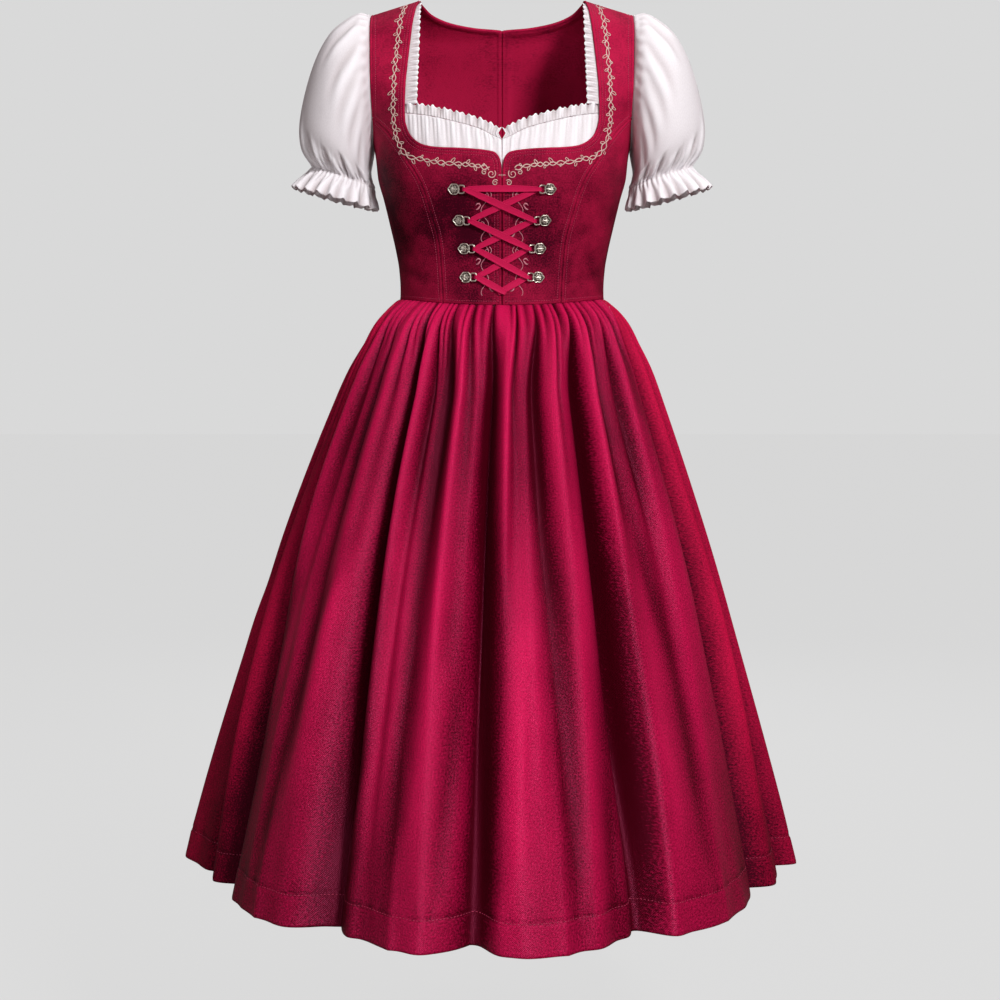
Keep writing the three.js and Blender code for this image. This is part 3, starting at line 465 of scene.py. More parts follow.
class Parts:
    """Points and faces of many small forms, gathered for one object"""

    def __init__(self):
        self.points, self.faces, self.count = [], [], 0

    def add(self, points, faces):
        self.points.append(points)
        self.faces += [[corner + self.count for corner in face] for face in faces]
        self.count += len(points)

    def tube(self, line, normals, radius, sides=6, closed=False, flat=1.0):
        """A thread or wire along a line; flat below 1 presses it towards the cloth"""
        if closed:
            along = unit(np.roll(line, -1, axis=0) - np.roll(line, 1, axis=0))
        else:
            along = unit(np.gradient(line, axis=0))
        across = unit(np.cross(along, normals))
        up = np.cross(across, along)
        radius = np.broadcast_to(radius, len(line))[:, None, None]
        spin = np.linspace(0, 2 * np.pi, sides, endpoint=False)
        ring = across[:, None] * np.cos(spin)[:, None] + flat * up[:, None] * np.sin(spin)[:, None]
        points = (line[:, None] + radius * ring).reshape(-1, 3)
        self.add(points, ring_faces(len(line), sides, closed))

    def stitches(self, line, normals, pitch, length=2.2, radius=0.32):
        """Short stitches along a line, each a small pointed spindle"""
        run = arc_length(line)
        for centre in np.arange(pitch / 2, run[-1], pitch):
            at = [centre - length / 2, centre + length / 2]
            ends = np.stack([np.interp(at, run, line[:, k]) for k in range(3)], -1)
            up = np.array([np.interp(centre, run, normals[:, k]) for k in range(3)])
            along = unit(ends[1] - ends[0])
            across = unit(np.cross(along, up))
            thick = radius * np.array([across, up, -across, -up])
            near, far = mix(ends[0], ends[1], 0.2) + thick, mix(ends[0], ends[1], 0.8) + thick
            points = np.concatenate([ends[:1], near, far, ends[1:]])
            faces = []
            for k in range(4):
                n = (k + 1) % 4
                faces += [[0, 1 + n, 1 + k], [1 + k, 1 + n, 5 + n, 5 + k], [9, 5 + k, 5 + n]]
            self.add(points, faces)

    def bead(self, centre, radius, normal, sides=8):
        """A small round bead of five rings"""
        up = unit(normal)
        across = unit(np.cross(up, [0.3, 0.2, 0.9]))
        third = np.cross(up, across)
        turn = np.linspace(0, 2 * np.pi, sides, endpoint=False)
        rings = []
        for tilt in np.radians([-80, -35, 10, 50, 84]):
            level = np.cos(tilt) * (across * np.cos(turn)[:, None] + third * np.sin(turn)[:, None])
            rings.append(centre + radius * (level + np.sin(tilt) * up))
        self.add(np.concatenate(rings), ring_faces(len(rings), sides, turned=True))

    def finish(self, name, material):
        return make_object(name, np.concatenate(self.points), self.faces, material)


# Materials
def srgb(red, green, blue):
    value = np.array([red, green, blue]) / 255
    linear = np.where(value <= 0.04045, value / 12.92, ((value + 0.055) / 1.055) ** 2.4)
    return (*linear.tolist(), 1)


def node(tree, kind, values=(), **settings):
    made = tree.nodes.new(kind)
    for key, value in settings.items():
        setattr(made, key, value)
    for key, value in dict(values).items():
        made.inputs[key].default_value = value
    return made


def new_material(name, base, roughness, **inputs):
    material = bpy.data.materials.new(name)
    material.use_nodes = True
    shader = material.node_tree.nodes["Principled BSDF"]
    shader.inputs["Base Color"].default_value = base
    shader.inputs["Roughness"].default_value = roughness
    for key, value in inputs.items():
        shader.inputs[key.replace("_", " ").title().replace("Ior", "IOR")].default_value = value
    return material, shader


def colour_and_relief(tree, shader, share, dark, light, height, bump, distance):
    """Colour between two tones by share, and a fine relief by height"""
    link = tree.links.new
    colour = node(tree, "ShaderNodeMix", data_type="RGBA")
    link(share, colour.inputs["Factor"])
    colour.inputs["A"].default_value = dark
    colour.inputs["B"].default_value = light
    link(colour.outputs["Result"], shader.inputs["Base Color"])
    relief = node(tree, "ShaderNodeBump", {"Strength": bump, "Distance": distance})
    link(height, relief.inputs["Height"])
    link(relief.outputs["Normal"], shader.inputs["Normal"])


def cloth_material(name, dark, light, roughness, mottle, bump, weave=0.9, grit=1.3, **inputs):
    """Woven cloth: weave is the thread pitch in millimetres, mottle the strength of its soft patches"""
    material, shader = new_material(name, light, roughness, **inputs)
    tree = material.node_tree
    link = tree.links.new
    place = node(tree, "ShaderNodeAttribute", attribute_name="cloth")
    parts = node(tree, "ShaderNodeSeparateXYZ")
    link(place.outputs["Vector"], parts.inputs[0])
    flat = node(tree, "ShaderNodeCombineXYZ")
    link(parts.outputs["X"], flat.inputs["X"])
    link(parts.outputs["Y"], flat.inputs["Y"])

    body = node(tree, "ShaderNodeTexCoord")
    patches = node(tree, "ShaderNodeTexNoise", {"Scale": 19, "Detail": 6, "Roughness": 0.65})
    link(body.outputs["Object"], patches.inputs["Vector"])
    grain = node(tree, "ShaderNodeTexNoise", {"Scale": 1000 / weave / 2.2, "Detail": 3})
    link(flat.outputs[0], grain.inputs["Vector"])
    waves = {"Scale": 314 / weave, "Distortion": 1.5, "Detail": 1, "Detail Scale": 2}
    twill = node(tree, "ShaderNodeTexWave", waves, bands_direction="DIAGONAL")
    link(flat.outputs[0], twill.inputs["Vector"])

    def scaled(source, centre, amount):
        away = node(tree, "ShaderNodeMath", {1: centre}, operation="SUBTRACT")
        link(source, away.inputs[0])
        sized = node(tree, "ShaderNodeMath", {1: amount}, operation="MULTIPLY")
        link(away.outputs[0], sized.inputs[0])
        return sized.outputs[0]

    def added(first, second, clamp=False):
        both = node(tree, "ShaderNodeMath", operation="ADD", use_clamp=clamp)
        link(first, both.inputs[0])
        link(second, both.inputs[1])
        return both.outputs[0]

    # The cloth attribute's third value carries painted light and shade, with wear on the bodice's rims;
    # soft patches and grain add to it
    share = added(parts.outputs["Z"], scaled(patches.outputs["Fac"], 0.5, mottle))
    share = added(share, scaled(grain.outputs["Fac"], 0.5, grit), clamp=True)
    height = added(scaled(twill.outputs["Fac"], 0.5, 0.5), scaled(grain.outputs["Fac"], 0.5, 1.2))
    colour_and_relief(tree, shader, share, dark, light, height, bump, 0.0004)
    return material


def plain_material(name, dark, light, roughness, scale, bump, **inputs):
    """A finish with fine grain for thread, ribbon and metal"""
    material, shader = new_material(name, light, roughness, **inputs)
    tree = material.node_tree
    body = node(tree, "ShaderNodeTexCoord")
    grain = node(tree, "ShaderNodeTexNoise", {"Scale": scale, "Detail": 3, "Roughness": 0.65})
    tree.links.new(body.outputs["Object"], grain.inputs["Vector"])
    share = grain.outputs["Fac"]
    colour_and_relief(tree, shader, share, dark, light, share, bump, 0.0003)
    return material


# Each cloth's dark and light colours serve its random mottle and the painted light and shade that its
# cloth attribute carries
ROSE_GLOSS = (1.0, 0.14, 0.34, 1)
BODICE = cloth_material(
    "bodice_cloth", srgb(44, 0, 10), srgb(158, 18, 56), 0.72, mottle=1.7, bump=0.5,
    specular_ior_level=0.25, specular_tint=ROSE_GLOSS,
)
SATIN = cloth_material(
    "skirt_satin", srgb(60, 0, 12), srgb(186, 17, 72), 0.38, mottle=0.3, bump=1.0,
    specular_ior_level=0.38, specular_tint=ROSE_GLOSS,
)
SIDE_CLOTH = cloth_material(
    "skirt_side_cloth", srgb(50, 0, 11), srgb(184, 15, 61), 0.66, mottle=0.4, bump=0.6,
    specular_ior_level=0.25, specular_tint=ROSE_GLOSS,
)
COTTON = cloth_material(
    "blouse_cotton", srgb(150, 135, 136), srgb(221, 217, 221), 0.85, mottle=0.12, bump=0.3,
    weave=0.7, grit=0.4, specular_ior_level=0.2,
)
RIBBON = plain_material(
    "lace_ribbon", srgb(128, 6, 40), srgb(196, 22, 76), 0.5, 1500, 0.4,
    specular_ior_level=0.5, specular_tint=ROSE_GLOSS,
)
THREAD = plain_material("seam_thread", srgb(110, 10, 40), srgb(190, 50, 92), 0.6, 3000, 0.3)
VINE_THREAD = plain_material("vine_thread", srgb(150, 112, 108), srgb(224, 198, 188), 0.5, 2500, 0.4)
FAINT_THREAD = plain_material("faint_thread", srgb(140, 50, 76), srgb(208, 140, 152), 0.55, 2500, 0.4)
SILVER = plain_material(
    "old_silver", srgb(150, 140, 130), srgb(232, 226, 214), 0.34, 900, 0.3, metallic=1.0
)
PATINA = plain_material("silver_patina", srgb(26, 20, 17), srgb(74, 60, 52), 0.6, 900, 0.4, metallic=0.6)


# Bodice panels
# Sewn edges reach a little past their seam, so that no light shows between two panels
SEAM_LAP, CENTRE_LAP, FOOT_LAP = -0.25, -0.6, 0.9
BODY_RADIUS = 140
# By side: the turned edge inside the back, and the strength on each front of the painted shade beside the
# lacing and under the arm and of the painted light below the neck
BACK_TURNING = {1: 11, -1: 6}
PAINTED_SHADE_BY_LACING = {1: 0.4, -1: 0.5}
PAINTED_SHADE_UNDER_ARM = {1: 0, -1: 0.42}
PAINTED_LIGHT_BELOW_NECK = {1: 0.32, -1: 0.16}
EDGE_COLUMNS = np.array([0, 0.4, 0.9, 1.4, 1.9, 2.5, 3.2, 3.9, 4.6, 5.7, 6.9, 7.8, 8.8, 11])


def shares(width, middle, start_gap, end_gap):
    """Shares along a row, close together next to both of its ends"""
    width = np.asarray(width, float).reshape(-1, 1)
    near = EDGE_COLUMNS * np.minimum(1, width / (3 * EDGE_COLUMNS[-1]))
    inside = np.linspace(0, 1, middle + 2)[1:-1]
    between = mix(near[:, -1:], width - near[:, -1:], inside)
    places = np.concatenate([near, between, width - near[:, ::-1]], axis=1)
    return (start_gap + places * (width - start_gap - end_gap) / width) / width


def rim(d):
    """A turned and topstitched free edge"""
    roll = 0.5 * hump(d - 1.9, 1.4) + 0.2 * hump(d - 5.8, 1.5)
    return roll - 0.5 * hump(d - 3.9, 0.6) - 0.4 * hump(d - 7.8, 0.6)


def seam(d):
    """A pressed seam with a topstitched line beside it"""
    return 0.4 * hump(d - 2.6, 1.6) - 0.65 * hump(d, 0.7) - 0.3 * hump(d - 5.2, 0.6)


# Soft creases of the bodice: from one bearing and height to another, with depth and half width
BODICE_CREASES = table("bearing z to_bearing to_z depth width", [
    (38, -372, 70, -352, 0.9, 7),
    (44, -346, 78, -322, 0.7, 8),
    (30, -318, 58, -300, 0.5, 7),
    (60, -292, 84, -262, 0.8, 9),
    (64, -246, 86, -214, 1.0, 8),
    (26, -384, 42, -366, 0.6, 5),
    (10, -392, 22, -378, 0.5, 5),
    (58, -214, 74, -196, 0.7, 6),
    (96, -374, 130, -356, 0.8, 8),
    (104, -340, 134, -320, 0.6, 9),
    (98, -276, 122, -250, 0.9, 9),
    (100, -226, 116, -206, 0.8, 7),
    (140, -376, 166, -366, 0.7, 6),
    (146, -334, 172, -318, 0.5, 8),
])


def bodice_creases(bearing, z):
    """Soft troughs round the waist and under the arm"""
    total = np.zeros_like(z)
    across = BODY_RADIUS * bearing
    for row in each_row(BODICE_CREASES):
        start = np.array([BODY_RADIUS * np.radians(row["bearing"]), row["z"]])
        along = np.array([BODY_RADIUS * np.radians(row["to_bearing"]), row["to_z"]]) - start
        length = np.hypot(*along)
        way = along / length
        t = ((across - start[0]) * way[0] + (z - start[1]) * way[1]) / length
        off = (across - start[0]) * way[1] - (z - start[1]) * way[0] + 5 * np.sin(3 * t)
        fade = smooth(t * 3) * smooth((1 - t) * 2)
        trough = hump(off, row["width"]) - 0.6 * hump(off - 1.9 * row["width"], row["width"])
        total -= row["depth"] * fade * trough
    return total


def panel(name, side, bearing, z, behind, free, seams):
    """A bodice panel from the bearing and height of its points; free and seams name its edges"""
    middle = torso_point(bearing, z)
    normal = torso_normal(bearing, z)
    lines = {"inner": middle[:, 0], "outer": middle[:, -1], "foot": middle[0], "top": middle[-1]}

    def nearest(edges):
        found = np.full(z.shape, 99.0)
        for edge, keep in edges:
            line = lines[edge]
            line = line[keep(line)] if keep else line
            found = np.minimum(found, distance_to(middle, line))
        return found

    to_free, to_seam = nearest(free), nearest(seams)
    edge = np.minimum(to_free, to_seam)
    half = rounded_half(BODICE_CLOTH, 0.35, edge, 1.1)
    raised = rim(to_free) * (1 - 0.7 * hump(to_seam, 3)) + seam(to_seam)
    soft = bodice_creases(bearing, z) * smooth(edge / 12)
    outer = middle + normal * (half + raised + soft)[..., None]
    inner = middle - normal * (half - soft)[..., None]
    if behind:
        allowance = smooth((BACK_TURNING[side] - distance_to(middle, lines["inner"])) / 0.9)
        hemmed = 0.5 * hump(to_free - 6, 0.8)
        inner -= normal * (allowance * smooth(edge / 1.5) + hemmed)[..., None]
    face = 1 if behind else -1
    for sheet in (outer, inner):
        sheet[..., 1] = face * np.maximum(face * sheet[..., 1], SEAM_GAP / 2)
    # Colour share: raised rims and seam rolls lighter as wear of the nap; stitch-line dips, seam hollows
    # and crease troughs darker as painted shade, crease sides lighter as painted light
    tone = 0.5 + 0.35 * raised + 0.12 * soft
    if not behind:
        # Painted shade beside the lacing and under the arm, and painted light below the neck, stronger on
        # one side than the other
        degrees = np.degrees(bearing)
        tone -= PAINTED_SHADE_BY_LACING[side] * hump(degrees - 20, 20) * hump(z + 310, 62)
        tone -= PAINTED_SHADE_UNDER_ARM[side] * hump(degrees - 66, 24) * hump(z + 285, 80)
        tone += PAINTED_LIGHT_BELOW_NECK[side] * smooth((z + 235) / 60)
    cloth = np.stack([bearing * BODY_RADIUS / 1000, z / 1000, tone], -1)
    sheets = mirrored(outer, side), mirrored(inner, side)
    # The inner sheet's colour is lightened as painted light
    cloth_wall(name, *sheets, cloth, BODICE, "bodice_cloth", inside=0.5)


def down_to_waist(level, bearing, above_foot):
    """Heights with the foot drawn down to the waist seam; above_foot grows from 0 at the foot"""
    return level + (waist_z(bearing) - FOOT_LAP - level) * (1 - smooth(above_foot))

def strap_panel(name, side, behind, rows, outer_x, count, middle, free, seams):
    """A panel that runs up into a strap, from a table of both of its edges"""
    curves = [by_number(rows, key) for key in ("inner_x", "inner_z", "outer_z")]
    fine = np.linspace(0, len(rows["inner_z"]) - 1, 800)
    ix, iz, oz = (curve(fine) for curve in curves)
    inner = torso_point(bearing_at(ix, iz, behind), iz)
    outer = torso_point(bearing_at(outer_x(oz), oz, behind), oz)
    run = (arc_length(inner) + arc_length(outer)) / 2
    at = np.interp(np.linspace(0, run[-1], count), run, fine)
    ix, iz, oz = (curve(at)[:, None] for curve in curves)
    ox = outer_x(oz)
    start = torso_point(bearing_at(ix, iz, behind), iz)
    end = torso_point(bearing_at(ox, oz, behind), oz)
    width = np.linalg.norm(end - start, axis=-1)
    share = shares(width, middle, SEAM_LAP if behind else CENTRE_LAP, SEAM_LAP)
    x, level = mix(ix, ox, share), mix(iz, oz, share)
    z = down_to_waist(level, bearing_at(x, level, behind), at[:, None])
    panel(name, side, bearing_at(x, z, behind), z, behind, free, seams)


def side_panel(name, side, behind, edge, inner_x, armhole_x, middle):
    """A panel between a princess seam and the side seam, under the armhole"""
    bottom, top = edge["inner"][0], edge["inner"][-1]
    iz = np.linspace(bottom, top, 100)[:, None]
    oz = through(edge, "inner", "outer")(iz)
    start = bearing_at(inner_x(iz), iz, behind)
    end = np.where(oz <= UNDERARM_Z, np.pi / 2, bearing_at(armhole_x(oz), oz, behind))
    width = np.linalg.norm(torso_point(end, oz) - torso_point(start, iz), axis=-1)
    share = shares(width, middle, SEAM_LAP, SEAM_LAP)
    bearing = mix(start, end, share)
    z = down_to_waist(mix(iz, oz, share), bearing, (iz - bottom) / 20)
    free = [("outer", above(UNDERARM_Z - 1))]
    seams = [("inner", None), ("foot", None), ("outer", below(UNDERARM_Z))]
    panel(name, side, bearing, z, behind, free, seams)


def front_outer_x(z):
    return np.where(z < FRONT_TIP_Z, front_princess(z), front_armhole(z))


def back_outer_x(z):
    return np.where(z < BACK_TIP_Z, back_princess(z), back_armhole(z))


def above(level):
    return lambda line: line[:, 2] >= level


def below(level):
    return lambda line: line[:, 2] <= level


SIDES = {"left": 1, "right": -1}
NAPE_Z = -24.6
for side_name, side in SIDES.items():
    strap_panel(
        f"bodice_front_{side_name}", side, False, FRONT_ROWS, front_outer_x, 200, 34,
        free=[("inner", None), ("outer", above(FRONT_TIP_Z))],
        seams=[("outer", below(FRONT_TIP_Z)), ("foot", None), ("top", None)],
    )
    side_panel(
        f"bodice_side_front_{side_name}", side, False, SIDE_FRONT_EDGE, front_princess, front_armhole, 12
    )
    side_panel(
        f"bodice_side_back_{side_name}", side, True, SIDE_BACK_EDGE, back_princess, back_armhole, 16
    )
    strap_panel(
        f"bodice_back_{side_name}", side, True, BACK_ROWS, back_outer_x, 150, 22,
        free=[("inner", above(NAPE_Z)), ("outer", above(BACK_TIP_Z))],
        seams=[("inner", below(NAPE_Z)), ("outer", below(BACK_TIP_Z)), ("foot", None), ("top", None)],
    )


# Skirt
def skirt_valleys():
    """Every valley once round, from the front's first and back to it"""
    rows = list(zip(*FRONT_VALLEYS.values()))
    first, last = rows[0], rows[-1]
    for k in range(1, BACK_FOLDS):
        sway = BACK_SWAY_DEGREES * np.sin(BACK_SWAY_RATE * k)
        top, hem = (mix(last[i], first[i] + 360, k / BACK_FOLDS) + sway for i in (0, 1))
        rows.append((top, hem, BACK_UPPER[k % len(BACK_UPPER)], BACK_LOWER[k % len(BACK_LOWER)]))
    rows.append((first[0] + 360, first[1] + 360, *first[2:]))
    return np.array(rows).T


VALLEY_TOP, VALLEY_HEM, VALLEY_UPPER, VALLEY_LOWER = skirt_valleys()
FOLDS = len(VALLEY_TOP) - 1
SKIRT_COLUMNS = FOLDS * COLUMNS_PER_FOLD
SKIRT_LENGTH = SKIRT["drop"][-1]
skirt_curve = {key: through(SKIRT, "drop", key) for key in SKIRT if key != "drop"}
# Uneven gathers and folds, each list read round and round, and the sway of the gathers' spacing
GATHER_HEIGHT = [1, 0.6, 1.25, 0.8, 1.15, 0.5, 0.95]
GATHER_LENGTH = [1, 0.6, 1.4, 0.75, 1.6, 0.65, 1.2, 0.85, 1.3, 0.6, 1.05]
PAIR_HEIGHT = [1, 0.4, 1.3, 0.7, 0.25, 1.1, 0.55]
FOLD_LEAN = np.array([0.2, 0.08, 0.26, 0.16, 0.24, 0.12, 0.28, 0.05, 0.18])
GATHER_SWAY = [(29, 0.34), (47, 0.26), (71, 0.16)]

# How far the lower skirt is let out or drawn in at each bearing
HEM_SHIFT = table("bearing out", [
    (-92, 0), (-80, 4), (-74, 4), (-70, -9), (-67, -23), (-61, -25), (-56, -23),
    (-49, -6), (-43, -5), (-37, -10), (-32, -16), (-28, -6), (-25, -21), (-21, -9),
    (-16, 0), (-10, 6), (-4, 3), (-1, -8), (2, 3), (6, 18), (11, 9), (17, 0), (21, -7),
    (25, 4), (29, -8), (32, 2), (37, 14), (44, 6), (49, -8), (53, -15), (58, -5),
    (62, 0), (66, -14), (71, 2), (80, 0),
])

hem_shift = through(HEM_SHIFT, "bearing", "out")

# Soft creases that run down the skirt between its folds: bearing and drop at each end
SKIRT_CREASES = table("bearing drop to_bearing to_drop depth width", [
    (-66, 190, -54, 730, 6.4, 15),
    (-49, 230, -45, 730, 4.2, 13),
    (-33, 150, -25, 760, 8.0, 15),
    (-21.5, 150, -15, 740, 5.0, 11),
    (-9, 300, -8, 730, 3.4, 10),
    (-1, 170, -0.5, 780, 8.4, 15),
    (12.5, 150, 16, 760, 6.8, 15),
    (22, 330, 23, 720, 3.2, 10),
    (30.5, 190, 30.5, 740, 6.2, 14),
    (43, 220, 42, 730, 4.6, 14),
    (64, 190, 60, 730, 5.4, 14),
    (-27, 470, -30, 660, 1.6, 7),
    (5, 380, 8, 590, 1.2, 6),
    (19, 330, 21, 665, 1.5, 8),
    (-10, 250, -12, 520, 1.4, 9),
    (-40, 200, -44, 430, 1.8, 9),
    (38, 180, 44, 420, 1.6, 9),
    (57, 250, 60, 520, 1.3, 10),
    (-58, 260, -61, 560, 1.5, 10),
    (0, 560, 2, 670, 1.2, 8),
    (-18, 520, -17, 655, 1.0, 7),
    (33, 500, 34, 640, 1.1, 8),
    (-85, 220, -92, 480, 1.7, 10),
    (88, 240, 95, 500, 1.6, 10),
    (-112, 400, -118, 650, 1.4, 9),
    (115, 380, 120, 640, 1.5, 9),
    (140, 200, 146, 460, 1.8, 10),
    (-142, 210, -147, 450, 1.6, 9),
    (165, 330, 170, 620, 1.4, 9),
    (-167, 350, -171, 640, 1.5, 10),
    (180, 180, 183, 380, 1.2, 8),
])


def beside_crease(row, around, down, degrees, level, sway, waves):
    """How far points lie beside a crease, in degrees, and how strong it is at their level"""
    t = (level - row[down]) / (row["to_" + down] - row[down])
    line = mix(row[around], row["to_" + around], t) + sway * np.sin(waves * t)
    return (degrees - line + 180) % 360 - 180, smooth(t * 2.5) * smooth((1 - t) * 2.5)


def skirt_creases(bearing, drop):
    total = np.zeros_like(bearing)
    for row in each_row(SKIRT_CREASES):
        away, fade = beside_crease(row, "bearing", "drop", np.degrees(bearing), drop, 1.2, 5)
        off = np.radians(away) * mix(140, 380, drop / SKIRT_LENGTH)
        crease = hump(off, row["width"]) - 0.5 * hump(off - 2 * row["width"], row["width"])
        total -= row["depth"] * fade * crease
    return total


def skirt_point(column, drop):
    """A point of the skirt's middle sheet, with the height of its folds and its painted shading for its
    colour: painted shade in gather and fold hollows and crease troughs, painted highlight on gather
    crests and beside creases
    """
    down = drop / SKIRT_LENGTH
    fold = np.clip(np.floor(column / COLUMNS_PER_FOLD).astype(int), 0, FOLDS - 1)
    t = column / COLUMNS_PER_FOLD - fold
    here = mix(VALLEY_TOP[fold], VALLEY_HEM[fold], down)
    after = mix(VALLEY_TOP[fold + 1], VALLEY_HEM[fold + 1], down)
    bearing = np.radians(mix(here, after, t))
    depth_here = mix(VALLEY_UPPER[fold], VALLEY_LOWER[fold], smooth(down))
    depth_after = mix(VALLEY_UPPER[fold + 1], VALLEY_LOWER[fold + 1], smooth(down))
    lean = FOLD_LEAN[fold % len(FOLD_LEAN)]
    leaned = t + lean * np.sin(np.pi * t) ** 2
    ridge = np.sin(np.pi * leaned) ** mix(1.25, 1.5, smooth((drop - 500) / 200))
    deep = 1 + 1.1 * smooth(drop / 90) * (1 - smooth((drop - 420) / 280))
    valley = mix(depth_here, depth_after, t)
    valley = np.where(valley > 0, valley * deep, valley)
    folded = skirt_curve["fold"](drop) * (ridge * CREST - (1 - ridge) * valley)

    swayed = np.array(column, float)
    for turns, amount in GATHER_SWAY:
        swayed += amount * np.sin(2 * np.pi * turns * column / SKIRT_COLUMNS)
    gather = column / 2
    reach = drop / uneven(GATHER_LENGTH, gather)
    crest = ((1 - np.cos(np.pi * swayed)) / 2) ** 0.7 * 2 - 1
    gathered = skirt_curve["gather"](reach) * uneven(GATHER_HEIGHT, gather) * crest
    pair = -np.cos(np.pi * swayed / 2)
    paired = skirt_curve["pair"](drop / uneven(GATHER_LENGTH, gather / 2 + 3)) * pair
    creased = skirt_creases(bearing, drop)
    grow = folded + gathered + paired * uneven(PAIR_HEIGHT, gather / 2) + creased
    wrapped = (np.degrees(bearing) + 180) % 360 - 180
    grow += hem_shift(wrapped) * smooth((drop - 250) / 430)
    # Painted shade in the fold hollows high up, and the painted shade and highlight of the gathers, pairs
    # and creases
    hollow = 0.8 * (1 - ridge) * skirt_curve["fold"](drop) * smooth(1 - drop / 400)
    shade = (gathered + paired * 0.8 - hollow) * (1 - smooth((drop - 120) / 260)) + creased

    power = 2 / mix(SQUARENESS, 2, smooth(drop / ROUND_BELOW))
    sine, cosine = np.sin(bearing), np.cos(bearing)
    depth = np.where(cosine >= 0, skirt_curve["front"](drop), skirt_curve["back"](drop))
    lean = SKIRT_LEAN * (1 - (1 - down) ** LEAN_EASING)
    x = skirt_curve["half"](drop) * signed_power(sine, power) + sine * grow + lean
    y = -depth * signed_power(cosine, power) - cosine * grow
    z = mix(waist_z(bearing) - SEAM_GAP, HEM_Z, down)
    return np.stack([x, y, z], -1), grow, shade


# Each width of the skirt, with the numbers of its first and last valley
SKIRT_WIDTHS = [
    ("skirt_front", 0, 8, SATIN),
    ("skirt_back_left", 8, 17, SIDE_CLOTH),
    ("skirt_back_right", 17, 26, SIDE_CLOTH),
]
SKIRT_FINE = 28
drops = np.concatenate(
    [
        np.arange(0, 60, 2.4),
        np.arange(60, 140, 5),
        np.arange(140, 655, 11.7),
        np.linspace(657, SKIRT_LENGTH, 20),
    ]
)
columns = np.arange(FOLDS * SKIRT_FINE) * COLUMNS_PER_FOLD / SKIRT_FINE
column_grid, drop_grid = np.meshgrid(columns, drops)
skirt_middle, skirt_grow, skirt_painted_shading = skirt_point(column_grid, drop_grid)
skirt_normal = turned_out(-grid_normals(skirt_middle, wrap=True), skirt_middle * [1, 1, 0])

to_hem = SKIRT_LENGTH - drop_grid
pucker = 0.35 * np.sin(column_grid * 2.6 + 2 * np.sin(column_grid * 0.9))
hem_relief = 0.5 * smooth((HEM_LINE - to_hem) / 3) - 0.9 * hump(to_hem - HEM_LINE, 1.6)
hem_relief += pucker * hump(to_hem - HEM_LINE, 14)
seam_columns = np.array([0] + [end for _, _, end, _ in SKIRT_WIDTHS]) * COLUMNS_PER_FOLD
per_column = 2 * np.pi * mix(120, 385, drop_grid / SKIRT_LENGTH) / SKIRT_COLUMNS
seam_away = np.abs(column_grid[..., None] - seam_columns).min(-1) * per_column
hem_relief += -1.1 * hump(seam_away, 2.2) + 0.5 * hump(seam_away - 6, 4)
skirt_half = rounded_half(SKIRT_CLOTH, 0.3, np.minimum(to_hem, drop_grid + 0.8), 1.0)
skirt_outer = skirt_middle + skirt_normal * (skirt_half + hem_relief)[..., None]
skirt_inner = skirt_middle - skirt_normal * (skirt_half - hem_relief * 0.4)[..., None]
for sheet in (skirt_outer, skirt_inner):
    sheet[0, :, 2] = skirt_middle[0, :, 2]
size_of_fold = sum(skirt_curve[key](drop_grid) for key in ("fold", "pair", "gather"))
# Colour share: painted shade in the fold valleys and painted highlight on the fold ridges
skirt_tone = 0.41 + 0.28 * np.clip(skirt_grow / size_of_fold, -1.3, 0.9)
# Painted shade in the seam hollows and along the hem's stitch line, a touch lighter on the turned-up hem
skirt_tone += 0.25 * np.minimum(hem_relief, 0.1)
# Painted shade and highlight of the gathers and creases
skirt_tone += mix(0.1, 0.07, smooth(drop_grid / 90)) * np.clip(skirt_painted_shading, -5, 4)
# Painted light just below the waist and painted shade towards the hem
skirt_tone += 0.14 * (1 - smooth(drop_grid / 220)) - 0.2 * smooth((drop_grid - 400) / 300)
skirt_cloth = np.stack([column_grid * 2.4 / SKIRT_COLUMNS, -drop_grid / 1000, skirt_tone], -1)

for name, start, end, material in SKIRT_WIDTHS:
    picked = np.arange(start * SKIRT_FINE, end * SKIRT_FINE + 1) % len(columns)
    outer, inner = skirt_outer[:, picked].copy(), skirt_inner[:, picked].copy()
    for sheet in (outer, inner):
        for edge, beside_edge in ((0, 1), (-1, -2)):
            sheet[:, edge] += unit(sheet[:, beside_edge] - sheet[:, edge]) * SEAM_GAP / 2
    cloth_wall(name, outer, inner, skirt_cloth[:, picked], material, "skirt_satin")


# Sleeves
def armhole_point(turn, past, out):
    """A point near the armhole's edge: turn 0 is the shoulder, and the front comes first"""
    middle = (UNDERARM_Z - SHOULDER_DROP) / 2
    reach = (-SHOULDER_DROP - UNDERARM_Z) / 2

    def edge_at(angle):
        z = middle + reach * np.cos(angle)
        behind = np.sin(angle) < 0
        front = bearing_at(front_armhole(z), z)
        back = bearing_at(back_armhole(z), z, True)
        bearing = np.where(behind, back, front)
        return bearing, z, torso_point(bearing, z)

    bearing, z, point = edge_at(turn)
    along = edge_at(turn + 0.01)[2] - edge_at(turn - 0.01)[2]
    normal = torso_normal(bearing, z)
    outboard = unit(np.cross(along, normal))
    centre = np.array([ARM_CENTRE_X, 0, middle])
    away = np.sum(outboard * (centre - point), axis=-1, keepdims=True)
    outboard = np.where(away < 0, -outboard, outboard)
    return point + outboard * past + normal * out


def between_rows(rings, at):
    """Rings again at places between them, on a smooth curve through each column of points"""
    low = np.clip(np.floor(at).astype(int), 0, len(rings) - 2)
    t = (at - low)[:, None, None]
    before, after = np.maximum(low - 1, 0), np.minimum(low + 2, len(rings) - 1)
    a, b = rings[low], rings[low + 1]
    ta = (b - rings[before]) / 2
    tb = (rings[after] - a) / 2
    s = 1 - t
    return a * (1 + 2 * t) * s * s + ta * t * s * s + b * t * t * (3 - 2 * t) - tb * t * t * s


